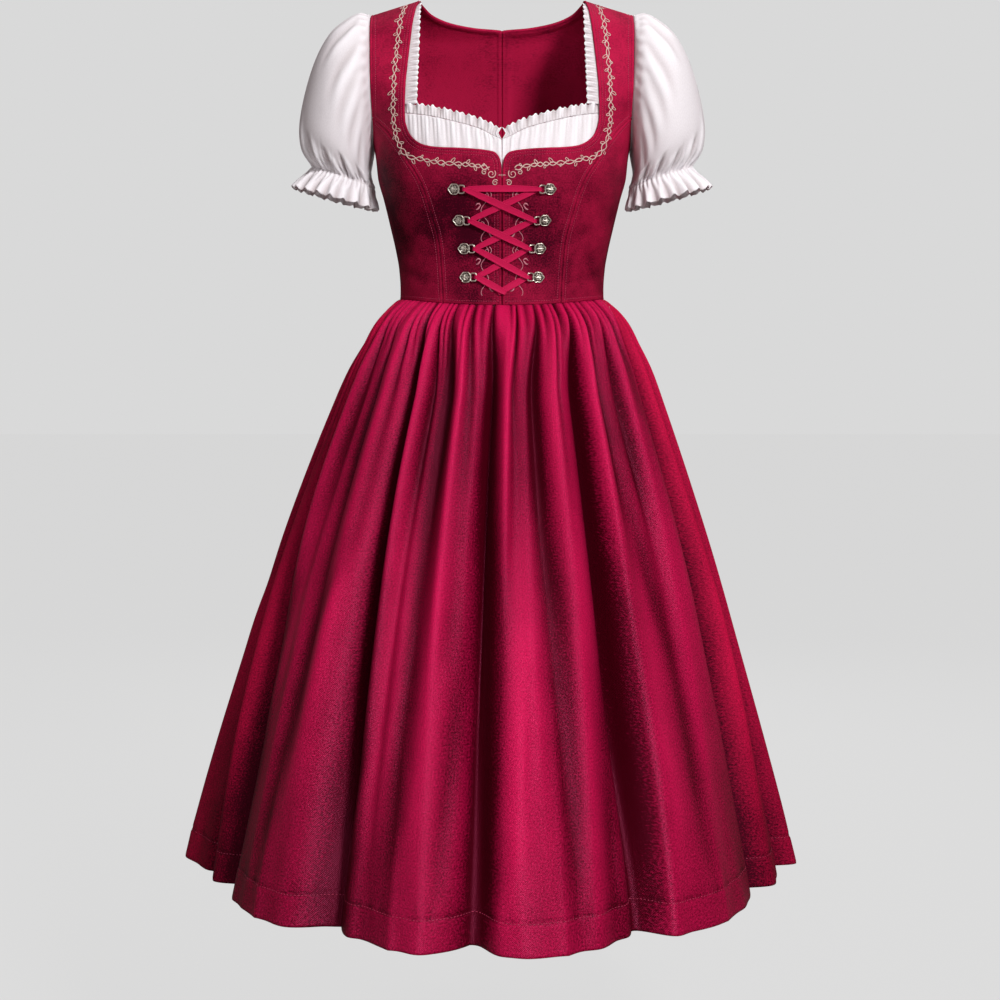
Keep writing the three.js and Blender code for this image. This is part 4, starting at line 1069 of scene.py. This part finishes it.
# Creases of the puff: from one turn and ring to another, with depth and half width
SLEEVE_CREASES = table("turn ring to_turn to_ring depth width", [
    (30, 0.4, 50, 4.2, 2.2, 9),
    (56, 0.3, 78, 4.8, 2.6, 11),
    (80, 0.6, 100, 5.4, 2.0, 11),
    (104, 0.8, 122, 6.0, 2.0, 10),
    (14, 0.8, 24, 3.6, 1.8, 8),
    (128, 1.6, 140, 6.8, 1.8, 9),
    (18, 5.4, 27, 8.4, 5.4, 9),
    (46, 6.0, 53, 8.5, 6.0, 9),
    (76, 6.2, 80, 8.5, 5.0, 8),
    (102, 5.8, 106, 8.4, 5.4, 9),
    (130, 5.4, 134, 8.4, 4.4, 9),
    (-20, 0.6, -34, 4.4, 1.8, 9),
    (-46, 0.4, -64, 5.2, 2.4, 10),
    (-78, 0.6, -94, 6.2, 2.2, 10),
    (-108, 1.2, -122, 6.8, 2.0, 9),
    (-34, 5.4, -40, 8.4, 4.8, 9),
    (-66, 6.0, -72, 8.5, 5.2, 9),
    (-98, 5.6, -102, 8.4, 4.6, 9),
])
ARMHOLE_GATHERS, CUFF_GATHERS, CUFF_WAVES = 34, 44, 20
CUFF_TILT = 3
THIN_EDGE = 0.25


def cotton_wall(name, side, middle, normal, half, cloth, wrap=False):
    outer, inner = middle + normal * half[..., None], middle - normal * half[..., None]
    sheets = mirrored(outer, side), mirrored(inner, side)
    cloth_wall(name, *sheets, cloth, COTTON, "blouse_cotton", wrap)


def sleeve_rings(turn):
    """The sleeve's rings by its tables: three at the armhole, then the puff, the cuff and its frill"""
    rings = [armhole_point(turn, past, out) for past, out in ARMHOLE_RINGS]
    along = 1 + np.cos(turn)
    for row in each_row(SLEEVE):
        x = row["in_x"] + (row["out_x"] - row["in_x"]) / 2 * along
        z = row["in_z"] + (row["out_z"] - row["in_z"]) / 2 * along
        rings.append(np.stack([x, -np.sin(turn) * row["depth"], z], -1))
    return np.array(rings)


def sleeve(name, side):
    fine_turns, fine_rows = 240, 100
    turn = np.linspace(0, 2 * np.pi, fine_turns, endpoint=False)
    rings = sleeve_rings(turn)
    run = arc_length(rings[:, 0] * 0.5 + rings[:, fine_turns // 4] * 0.5)
    at = np.interp(np.linspace(0, run[-1], fine_rows), run, np.arange(len(rings)))
    middle = between_rows(rings, at)
    outward = middle - middle.mean(axis=1, keepdims=True)
    normal = turned_out(grid_normals(middle, wrap=True), outward)

    ring = (at - len(ARMHOLE_RINGS))[:, None]
    turns = turn[None, :]
    count = turns / (2 * np.pi)
    cap = 0.35 + 0.65 * (0.5 + 0.5 * np.cos(turns))
    top_length = uneven([1, 0.6, 1.4, 0.8, 1.2, 0.5], count * ARMHOLE_GATHERS)
    top_fade = smooth((ring + 0.6) / 0.8) * (1 - smooth(ring / (1.9 * top_length)))
    grow = cap * top_fade * -np.cos(ARMHOLE_GATHERS * turns + 0.6 * np.sin(3 * turns))
    low_length = 1.5 * uneven([1, 0.55, 1.5, 0.75, 1.25, 0.9, 0.6], count * CUFF_GATHERS)
    low_fade = smooth((ring - 7.8 + low_length) / low_length) * (1 - smooth((ring - 9) / 1.4))
    grow += 1.1 * low_fade * -np.cos(CUFF_GATHERS * turns + 0.8 * np.sin(5 * turns))
    wave = np.cos(CUFF_WAVES * turns + 0.7 * np.sin(4 * turns))
    wave_height = uneven([1, 0.75, 1.15, 0.85, 1.2], count * CUFF_WAVES)
    grow += mix(0, 3.4, smooth((ring - 8.6) / 2.4)) * wave * wave_height
    grow -= 0.9 * hump(ring - 8.5, 0.16)
    for row in each_row(SLEEVE_CREASES):
        off, fade = beside_crease(row, "turn", "ring", np.degrees(turns), ring, 4, 4)
        crease = hump(off, row["width"] * 0.5) - 0.7 * hump(off - row["width"], row["width"] * 0.6)
        grow -= 0.75 * row["depth"] * fade * crease
    middle = middle + normal * grow[..., None]
    normal = turned_out(grid_normals(middle, wrap=True), outward)
    drop_edge = 0.8 * np.cos(2 * CUFF_WAVES * turns) * smooth((ring - 10) / 1)
    middle[..., 2] += drop_edge - CUFF_TILT * np.sin(turns) * smooth((ring - 6) / 5)
    half = np.full(ring.shape, BLOUSE_CLOTH / 2)
    half[-1], half[-2] = THIN_EDGE, 2 * THIN_EDGE
    # Painted shade in the creases and gather hollows, painted light on the gathers' crests
    tone = 0.8 + 0.16 * np.clip(grow, -4, 1.2)
    cloth = np.stack(np.broadcast_arrays(turns * 0.07, ring * 0.02, tone), -1)
    cotton_wall(name, side, middle, normal, half, cloth, wrap=True)


for side_name, side in SIDES.items():
    sleeve(f"blouse_sleeve_{side_name}", side)

# Blouse front, its ruffle and the strap frills
blouse_top = through(BLOUSE_TOP, "x", "z")
BLOUSE_START, BLOUSE_END = BLOUSE_TOP["x"][0], BLOUSE_TOP["x"][-1]
INSERT_GATHERS = 22
RUFFLE_WAVES, FRILL_WAVES = 9, 17


def keyhole(z):
    """How far the two halves part at the centre, just under the ruffle"""
    return 4.2 * np.clip(1 - np.abs(z + 188) / 7.5, 0, 1)


def blouse_cloth(name, side, x, z, out, tone, thin_ends=True):
    """Cotton that lies a distance out from the body form, thin at its edges"""
    half = np.full(z.shape, BLOUSE_CLOTH / 2)
    half[:, [0, -1]] = THIN_EDGE
    if thin_ends:
        half[[0, -1]] = THIN_EDGE
    middle = on_torso(x, z, out)
    normal = turned_out(grid_normals(middle), [0, -1, 0])
    cotton_wall(name, side, middle, normal, half, np.stack([x / 1000, z / 1000, tone], -1))


def blouse_front(name, side, shift):
    across = np.linspace(0, 1, 170)[None, :]
    down = np.linspace(0, 1, 46)[:, None]
    x = mix(BLOUSE_START, BLOUSE_END, across) + 0 * down
    z = mix(blouse_top(x), BLOUSE_FOOT_Z, down)
    x = x + keyhole(z) * (1 - across) ** 6
    gather = across * INSERT_GATHERS
    length = uneven([1, 0.5, 1.4, 0.7, 1.2, 0.9, 0.6], gather + shift)
    fade = 1 - 0.9 * smooth(down / (0.6 * length))
    lean = 0.9 * np.sin(across * 3 + shift) * down
    phase = gather + lean + 0.35 * np.sin(9 * across + shift)
    grow = fade * 0.5 * -np.cos(2 * np.pi * phase) * uneven([1, 0.7, 1.2, 0.9], gather)
    broad = 0.55 * np.sin(2 * np.pi * (8.5 * across + 0.6 * down + 0.3 * np.sin(5 * across)) + shift)
    grow = (grow + broad) * smooth(down / 0.06 + 0.3)
    # The colour share paints shade in the gather hollows and light on their crests
    blouse_cloth(name, side, x, z, BLOUSE_OUT + np.clip(grow, -1.8, 1.5), 0.78 + 0.2 * grow)


def blouse_ruffle(name, side, shift):
    across = np.linspace(0, 1, 230)[None, :]
    up = np.linspace(0, 1, 16)[:, None]
    x = mix(BLOUSE_START, BLOUSE_END, across) + 0 * up
    scallop = 1.3 * np.cos(2 * np.pi * (2 * RUFFLE_WAVES * across + 0.2 * np.sin(7 * across)))
    z = blouse_top(x) + mix(SEAM_GAP, RUFFLE_HEIGHT + scallop, up)
    x = x + keyhole(z) * (1 - across) ** 6
    wave = np.cos(2 * np.pi * (RUFFLE_WAVES * across + 0.3 * np.sin(6 * across + shift)))
    crinkle = np.cos(2 * np.pi * (30 * across + 0.4 * np.sin(11 * across)))
    grow = wave * mix(0.3, 1.9, up**1.2) * uneven([1, 0.7, 1.2], across * RUFFLE_WAVES)
    grow = grow + 0.5 * crinkle * (1 - 0.6 * up)
    # Painted shade in the ruffle's hollows and painted light on its crests and along its top edge
    tone = 0.55 + 0.22 * grow + 0.4 * smooth((up - 0.85) / 0.15)
    blouse_cloth(name, side, x, z, BLOUSE_OUT + grow, tone)


def strap_frill(name, side, shift):
    edge_x, shows = through(FRILL, "z", "edge"), through(FRILL, "z", "shows")
    along = np.linspace(0, 1, 260)[:, None]
    out = np.linspace(0, 1, 14)[None, :]
    z = mix(FRILL["z"][-1], FRILL["z"][0] - 4, along) + 0 * out
    wave = np.cos(2 * np.pi * (FRILL_WAVES * along + 0.25 * np.sin(9 * along + shift)))
    crinkle = np.cos(2 * np.pi * (2.3 * FRILL_WAVES * along + 0.8 * out))
    reach = mix(-FRILL_HIDDEN, shows(z) + 0.9 * wave, out)
    grow = 1.1 * smooth(reach / shows(z)) * wave + 0.4 * crinkle * smooth(reach / 4)
    # Painted shade in the frill's hollows and painted light on its crests and along its free edge
    tone = 0.5 + 0.35 * grow + 0.4 * smooth((out - 0.85) / 0.15)
    blouse_cloth(name, side, edge_x(z) - reach, z, FRILL_OUT + grow * 0.9, tone, thin_ends=False)


for side_name, side in SIDES.items():
    for name, make in (
        ("blouse_front", blouse_front),
        ("blouse_ruffle", blouse_ruffle),
        ("strap_frill", strap_frill),
    ):
        make(f"{name}_{side_name}", side, 0.4 * side)


# Hooks, each in its own frame: X towards the centre front, Y up the bodice, Z out of the cloth
def leaf_outline(turn):
    """The head's outline: round, a little lobed, with its point away from the centre front"""
    tip = 1.0 * hump((np.abs((turn + np.pi) % (2 * np.pi) - np.pi) - np.pi), 0.3)
    return 6.3 + 0.25 * np.cos(6 * turn) + tip


def hook_frame(hook, side):
    x, z = hook
    base = on_torso(np.array(float(x)), np.array(float(z)), BODICE_CLOTH / 2 + SEAM_GAP)
    out = torso_normal(bearing_at(x, z), np.array(float(z)))
    inward = unit(np.array([-1.0, 0, 0]) + out * out[0])
    mirror = np.array([side, 1, 1])
    return base * mirror, inward * mirror, out * mirror


def curl(centre, radius, start, turns, shrink, count):
    """A flat spiral line that starts at its outer end; turns is below 0 the other way round"""
    t = np.linspace(0, 1, count)
    angle = start + 2 * np.pi * turns * t
    reach = radius * (1 - shrink * t)
    return centre[0] + reach * np.cos(angle), centre[1] + reach * np.sin(angle)


OUTLINE_STEPS, CURL_STEPS, RING_STEPS = 48, 26, 40
# The plate's rings from its middle over the rim and under it: share of the outline, and level
PLATE_PROFILE = [(0.02, 1.75), (0.5, 1.6), (0.8, 1.3), (0.97, 0.9), (0.97, 0.1), (0.02, 0.05)]
# The stamped flower's curls, as centre, first angle and radius, its stem and its beads
CURLS = [((0.6, 2.3), 2.2, 2.3), ((-2.7, 1.7), -2.0, 1.5)]
STEM = np.array([(4.6, 1, 1.7), (2.4, 0.4, 2), (0, 0.3, 2.1), (-3, 0.25, 1.9), (-5.6, 0, 1.4)])
BEAD_ANGLES = [35, 75, 115, 155, 205, 245, 285, 325]


def hook(name, place, side):
    base, inward, out = hook_frame(place, side)
    basis = np.stack([inward, np.cross(out, inward), out])

    def placed(x, y, level):
        return base + np.stack(np.broadcast_arrays(x, y, level), -1) @ basis

    plate = Parts()
    turn = np.linspace(0, 2 * np.pi, OUTLINE_STEPS, endpoint=False)
    radius = leaf_outline(turn)
    x, y = radius * np.cos(turn), radius * np.sin(turn)
    rings = [placed(share * x, share * y, level) for share, level in PLATE_PROFILE]
    plate.add(np.concatenate(rings), ring_faces(len(rings), OUTLINE_STEPS, turned=True))
    base_plate = plate.finish(f"{name}_plate", PATINA)

    wire = Parts()
    wire.tube(placed(x, y, 1.1), out, 0.62, 8, closed=True)
    for way in (1, -1):
        for (x, y), start, curl_radius in CURLS:
            cx, cy = curl((x, y * way), curl_radius, start * way, 1.35 * way, 0.8, CURL_STEPS)
            dome = HEAD_THICK * 0.62 + 0.5 * (1 - (cx**2 + cy**2) / 40)
            wire.tube(placed(cx, cy, dome), out, np.linspace(0.52, 0.3, CURL_STEPS))
        stem = evenly(STEM * [1, way, 1], 0.6)
        wire.tube(placed(*stem.T), out, 0.4)
    for angle in np.radians(BEAD_ANGLES):
        reach = leaf_outline(angle) * 0.76
        wire.bead(placed(reach * np.cos(angle), reach * np.sin(angle), 1.7), 0.5, out)
    wire.bead(placed(3.4, 0, 1.9), 0.85, out)
    for way in (1, -1):
        wire.bead(placed(0.6, 2.3 * way, 2.0), 0.55, out)

    angle = np.linspace(0, 2 * np.pi, RING_STEPS, endpoint=False)
    across = RING["half_width"] * signed_power(np.cos(angle), 0.5)
    along = RING["half_height"] * signed_power(np.sin(angle), 0.5)
    near = (RING["half_width"] - across) / (2 * RING["half_width"])
    lift = mix(RING["lift"], HEAD_THICK / 2, near**1.5)
    wire.tube(placed(RING["centre"] + across, along, lift), out, RING["wire"], 8, closed=True)
    made = wire.finish(name + "_wire", SILVER)
    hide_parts(name)


for side_name, side in SIDES.items():
    for number, place in enumerate(HOOKS, start=1):
        hook(f"hook_{side_name}_{number}", place, side)


# Lace
STRAND_STEPS, WRAP_STEPS = 28, 10


def lace_route():
    """The ribbon's middle line, as points with its width and the way that its width lies"""
    ring_x = RING["centre"] + RING["half_width"]
    gap = RING["lift"] + SEAM_GAP
    lifts = {"over": gap + LACE["wrap"], "under": gap - LACE["wrap"]}
    other = {"over": "under", "under": "over"}
    route = []

    def upward(v):
        return unit(-v if v[2] < 0 else v)

    def strand(start, end):
        middle = (LACE[start["pass"]] + LACE[end["pass"]]) / 2
        along = np.array([end["x"] - start["x"], 0, end["z"] - start["z"]])
        for i in range(0 if "loose" in start else 1, STRAND_STEPS + (1 if "loose" in end else 0)):
            t = i / STRAND_STEPS
            x, z = mix(start["x"], end["x"], t), mix(start["z"], end["z"], t)
            bow = np.sqrt(np.sin(np.pi * min(t, 0.999)))
            lift = mix(mix(start["lift"], end["lift"], t), middle, bow)
            point = on_torso(np.array(x), np.array(z), BODICE_CLOTH / 2 + lift)
            out = torso_normal(bearing_at(abs(x), z), np.array(z)) * [1 if x >= 0 else -1, 1, 1]
            width = mix(LACE["narrow"], LACE["width"], bow)
            route.append((point, width, upward(np.cross(out, along))))

    def wrap_ring(frame_of, reaches):
        base, inward, out = frame_of
        across = upward(np.cross(out, inward))
        for i in range(WRAP_STEPS + 1):
            swing = np.pi * i / WRAP_STEPS
            height = (1 if reaches == "over" else -1) * LACE["wrap"] * np.cos(swing)
            point = base + out * (RING["lift"] + height)
            point = point + inward * (ring_x - LACE["wrap"] * np.sin(swing))
            route.append((point, LACE["narrow"], across))

    start = dict(x=LACE_END[0], z=LACE_END[1], lift=LACE["over"], loose=True)
    start["pass"] = "over"
    for number, side, reaches in LACE_STOPS:
        x, z = HOOKS[number - 1]
        end = {"x": side * (x - ring_x), "z": z, "pass": reaches, "lift": lifts[reaches]}
        strand(start, end)
        wrap_ring(hook_frame((x, z), side), reaches)
        start = {**end, "pass": other[reaches], "lift": lifts[other[reaches]]}
    end = {"x": -LACE_END[0], "z": LACE_END[1], "pass": "under", "lift": LACE["under"], "loose": True}
    strand(start, end)
    return route


route = lace_route()
lace_points = np.array([point for point, _, _ in route])
lace_widths = np.array([width for _, width, _ in route])[:, None]
lace_across = np.array([across for _, _, across in route])
lace_face = unit(np.cross(np.gradient(lace_points, axis=0), lace_across))
# The ribbon's section: place across its width and height over its middle, with two woven edges
LACE_SECTION = [(-1, 0), (-0.97, 0.5), (-0.84, 0.62), (-0.72, 0.42), (-0.3, 0.5), (0, 0.46), (0.3, 0.5)]
LACE_SECTION += [(0.72, 0.42), (0.84, 0.62), (0.97, 0.5), (1, 0)]
LACE_SECTION += [(x, -y) for x, y in LACE_SECTION[-2:0:-1]]
lace_rows = []
for wide, thick in LACE_SECTION:
    middle = lace_points + lace_across * wide * lace_widths / 2
    lace_rows.append(middle + lace_face * thick * LACE["thick"])
lace_grid = np.stack(lace_rows, axis=1)
lace_faces = ring_faces(*lace_grid.shape[:2], turned=True)
lace_piece = make_object("lace_ribbon_piece", lace_grid.reshape(-1, 3), lace_faces, RIBBON)
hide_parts("lace")


# Sewing: lines on the bodice, given by x and z on one side
def surface_line(xs, zs, out, side, behind=False):
    """Points of a line that lies out from the cloth, and the directions out of the cloth there"""
    points = on_torso(xs, zs, np.full(len(xs), out), behind)
    normals = torso_normal(bearing_at(xs, zs, behind), zs)
    return mirrored(points, side), mirrored(normals, side)


def beside(xs, zs, distance, way, behind=False):
    """The line that lies a distance beside another on the cloth; way 1 or -1 picks its side"""
    points = evenly(torso_point(bearing_at(xs, zs, behind), zs), 1.5)
    normals = torso_normal(bearing_at(points[:, 0], points[:, 2], behind), points[:, 2])
    across = unit(np.cross(unit(np.gradient(points, axis=0)), normals))
    moved = points + across * distance * way
    return moved[:, 0], moved[:, 2]


def neck_line(rows, first):
    """The neckline's x and z, from one row of a panel's table to its last but one"""
    last = len(rows["inner_z"]) - 1.02
    fine = np.linspace(first, last, 500 if first == 0 else 160)
    return by_number(rows, "inner_x")(fine), by_number(rows, "inner_z")(fine)


STITCH_PITCH, EDGE_RISE, SEAM_RISE = 3.0, 0.85, 0.95
NECK_LINE = neck_line(FRONT_ROWS, 0)
BACK_NECK_LINE = neck_line(BACK_ROWS, 14.02)
front_seam_z = np.linspace(-392, -160, 120)
back_seam_z = np.linspace(-383, -122, 120)
armhole_z = np.linspace(-182, -29, 90)
waist_x = np.linspace(3, 127, 120)

# Each topstitched line: its x and z, its distances from the edge, side of the edge, face, and rise
TOPSTITCHING = [
    (*NECK_LINE, [3.9, 7.8], [1], False, EDGE_RISE),
    (*BACK_NECK_LINE, [3.9, 7.8], [-1], True, EDGE_RISE),
    (front_princess(front_seam_z), front_seam_z, [5.2], [1, -1], False, SEAM_RISE),
    (back_princess(back_seam_z), back_seam_z, [5.2], [1, -1], True, SEAM_RISE),
    (front_armhole(armhole_z), armhole_z, [7.8], [-1], False, EDGE_RISE),
    (back_armhole(armhole_z), armhole_z, [7.8], [1], True, EDGE_RISE),
]
for side_name, side in SIDES.items():
    sewing = Parts()
    for xs, zs, distances, ways, behind, rise in TOPSTITCHING:
        for distance, way in itertools.product(distances, ways):
            line = beside(xs, zs, distance, way, behind)
            sewing.stitches(*surface_line(*line, rise, side, behind), STITCH_PITCH)
    for behind in (False, True):
        level = waist_z(bearing_at(waist_x, -388, behind)) + 4.2
        sewing.stitches(*surface_line(waist_x, level, SEAM_RISE, side, behind), STITCH_PITCH)
    sewing.finish(f"bodice_sewing_{side_name}", THREAD)

hem_sewing = Parts()
hem_row = np.argmin(np.abs(drops - (SKIRT_LENGTH - HEM_LINE)))
hem_line = skirt_outer[hem_row] + skirt_normal[hem_row] * 0.15
closed_line = np.concatenate([hem_line, hem_line[:1]])
closed_normal = np.concatenate([skirt_normal[hem_row], skirt_normal[hem_row][:1]])
hem_sewing.stitches(closed_line, closed_normal, 4.2, 3.0, 0.34)
hem_sewing.finish("hem_sewing", THREAD)

# Embroidery: a twined vine beside the neckline, and scrolls down both front edges
VINE = table("x z", [
    (121.5, -10), (127.5, -32), (132, -75), (134.5, -120), (134.8, -150), (132.5, -177),
    (124.5, -202), (113, -215), (98.5, -219), (82.5, -223.5), (64, -226.2),
    (46, -227.8), (26, -230.5), (15.5, -233),
])
# The curls at the vine's lower end: centre, radius and way round
VINE_CURLS = [((12.8, -239.5), 5.4, 1), ((8.2, -250), 3.8, -1), ((21.5, -237.5), 3.4, -1)]
LEAF_PITCH, LEAF_SIZES = 9.6, (1, 0.7, 1.2, 0.85, 1.05)
# The scrolls' stem beside the front edge, and each scroll's height and way round
STEM_X, STEM_TOP = 21, -258
SCROLLS = [(-256, 1), (-289, -1), (-322, 1), (-355, -1)]


def spine(points):
    """A smooth line through table points, evenly spaced, with the directions across and along it"""
    fine = np.linspace(0, len(points["x"]) - 1, 400)
    line = evenly(np.stack([by_number(points, key)(fine) for key in ("x", "z")], -1), 0.7)
    along = unit(np.gradient(line, axis=0))
    return line, np.stack([along[:, 1], -along[:, 0]], -1), along


def embroider(work, line, lift, side, radius, flat=0.7):
    """One thread laid along a line of x and z"""
    work.tube(*surface_line(*line, lift, side), radius, flat=flat)


vine_line, vine_across, vine_along = spine(VINE)
vine_run = arc_length(vine_line)
for side_name, side in SIDES.items():
    vine = Parts()
    wander = 0.9 * np.sin(vine_run / 23) + 0.6 * np.sin(vine_run / 9.1 + side)
    sway = 2.5 * np.sin(2 * np.pi * vine_run / 19 + wander) * uneven([1, 0.7, 1.15, 0.85], vine_run / 14)
    for way, lift in ((1, 1.35), (-1, 1.6)):
        wave = vine_line + vine_across * (way * sway)[:, None]
        embroider(vine, wave.T, lift, side, 0.62)
    for k, centre in enumerate(np.arange(5, vine_run[-1] - 4, LEAF_PITCH)):
        i = int(np.searchsorted(vine_run, centre))
        way = 1 if k % 2 else -1
        turn = np.linspace(0, 2 * np.pi, 15)[:, None]
        size = LEAF_SIZES[k % len(LEAF_SIZES)]
        out = (3.4 - 2.4 * np.cos(turn)) * size
        loop = vine_across[i] * way * out + vine_along[i] * (1.5 * np.sin(turn) + 0.45 * out) * size
        embroider(vine, (vine_line[i] + loop).T, 1.5, side, 0.45)
    for centre, radius, way in VINE_CURLS:
        line = curl(centre, radius, 2.4, 1.3 * way, 0.75, 40)
        embroider(vine, line, 1.5, side, np.linspace(0.6, 0.4, 40))
    vine.finish(f"neck_vine_{side_name}", VINE_THREAD)

    scroll = Parts()
    zs = np.linspace(STEM_TOP, -386, 150)
    xs = STEM_X + 4.5 * np.sin(2 * np.pi * (zs - STEM_TOP) / 33)
    embroider(scroll, (xs, zs), 1.3, side, 0.4)
    for z, way in SCROLLS:
        centre = (STEM_X - way * 3.5, z - 9)
        line = curl(centre, 5.2, np.pi / 2 + 0.4 * way, 1.15 * way, 0.78, 34)
        embroider(scroll, line, 1.35, side, np.linspace(0.45, 0.3, 34))
        t = np.linspace(0, 1, 8)
        size = 0.8 * np.sin(np.pi * np.linspace(0.1, 0.98, 8)) + 0.1
        for lean in (-1, 1):
            leaf_z = z - 20 + lean * 3.2 * np.sin(np.pi * t * 0.8) - 3 * t
            embroider(scroll, (STEM_X + way * (5 + 6 * t), leaf_z), 1.35, side, size, flat=0.5)
    scroll.finish(f"front_scroll_{side_name}", FAINT_THREAD)

bar = Parts()
xs = np.linspace(-4.2, 4.2, 12)
bar.tube(on_torso(xs, np.full(12, -241.0), np.full(12, 1.7)), [0, -1, 0], 0.45)
bar.finish("thread_bar", VINE_THREAD)

# Floor, light and camera
AMBIENT, FLOOR_Z = 0.12, -1.44
PALE_GREY = srgb(217, 217, 217)
bpy.ops.mesh.primitive_plane_add(size=60, location=(0, 10, FLOOR_Z))
floor = bpy.context.object
floor.name = "floor"
floor_material, floor_shader = new_material("floor_paint", srgb(60, 60, 60), 0.95)
floor_shader.inputs["Emission Color"].default_value = PALE_GREY
floor_shader.inputs["Emission Strength"].default_value = 0.97
floor_shader.inputs["Specular IOR Level"].default_value = 0
floor.data.materials.append(floor_material)
floor.visible_diffuse = False
floor.visible_glossy = False

# The backdrop is pale to the camera, and the cloth itself is lit mostly by the lamps
world = bpy.data.worlds.new("studio")
world.use_nodes = True
backdrop = world.node_tree.nodes["Background"]
backdrop.inputs["Color"].default_value = PALE_GREY
glow = node(world.node_tree, "ShaderNodeBackground", {"Color": (1, 0.74, 0.7, 1), "Strength": AMBIENT})
seen = node(world.node_tree, "ShaderNodeLightPath")
either = node(world.node_tree, "ShaderNodeMixShader")
world.node_tree.links.new(seen.outputs["Is Camera Ray"], either.inputs[0])
world.node_tree.links.new(glow.outputs[0], either.inputs[1])
world.node_tree.links.new(backdrop.outputs[0], either.inputs[2])
world.node_tree.links.new(either.outputs[0], world.node_tree.nodes["World Output"].inputs["Surface"])
bpy.context.scene.world = world


def area_light(name, place, target, size, power):
    data = bpy.data.lights.new(name, "AREA")
    data.shape = "DISK"
    data.size = size
    data.energy = power
    light = bpy.data.objects.new(name, data)
    light.location = place
    way = np.array(target) - np.array(place)
    light.rotation_euler = (np.arctan2(np.hypot(way[0], way[1]), -way[2]), 0, np.arctan2(-way[0], way[1]))
    bpy.context.scene.collection.objects.link(light)


area_light("key", (1.4, -2.7, 1.2), (0, 0, -0.4), 0.7, 132)
area_light("fill", (-2.0, -2.2, 0.3), (0, 0, -0.5), 1.4, 18)
area_light("top", (0.1, 0.2, 1.6), (0, 0, -0.3), 1.0, 12)
area_light("low", (0, -2.0, -1.3), (0, 0, -0.3), 1.2, 10)
area_light("back", (0.2, 3.0, 0.9), (0, 0, -0.5), 1.2, 70)

camera_data = bpy.data.cameras.new("camera")
camera_data.lens = 55.62
camera_data.sensor_width = 36
camera_data.shift_x = -0.002
camera_data.shift_y = -0.1
camera = bpy.data.objects.new("camera", camera_data)
camera.location = (0, -2.0, -0.514)
camera.rotation_euler = (np.pi / 2, 0, 0)
bpy.context.scene.collection.objects.link(camera)
bpy.context.scene.camera = camera
bpy.context.scene.view_settings.view_transform = "Standard"

# Cut of the cloth that shows, flat: width and length in metres, area where it isn't a rectangle
CUTS = {
    "skirt_front": dict(width=0.95, length=0.76, held="gathered"),
    "skirt_back": dict(width=0.93, length=0.76, held="gathered"),
    "bodice_front": dict(width=0.165, length=0.4, area=0.0305, held="hung"),
    "bodice_side_front": dict(width=0.12, length=0.24, area=0.0252, held="hung"),
    "bodice_side_back": dict(width=0.125, length=0.27, area=0.0272, held="hung"),
    "bodice_back": dict(width=0.17, length=0.385, area=0.0466, held="hung"),
    "blouse_sleeve": dict(width=0.46, length=0.26, area=0.105, held="gathered"),
    "blouse_front": dict(width=0.17, length=0.07, held="gathered"),
    "blouse_ruffle": dict(width=0.19, length=0.014, held="gathered"),
    "strap_frill": dict(width=0.23, length=0.02, held="gathered"),
}
for name, sheet in SHEETS.items():
    cut = CUTS[name if name in CUTS else name.rsplit("_", 1)[0]]
    size = {"flat": (cut["width"], cut["length"]), "held": cut["held"]}
    if "area" in cut:
        size["area"] = cut["area"]
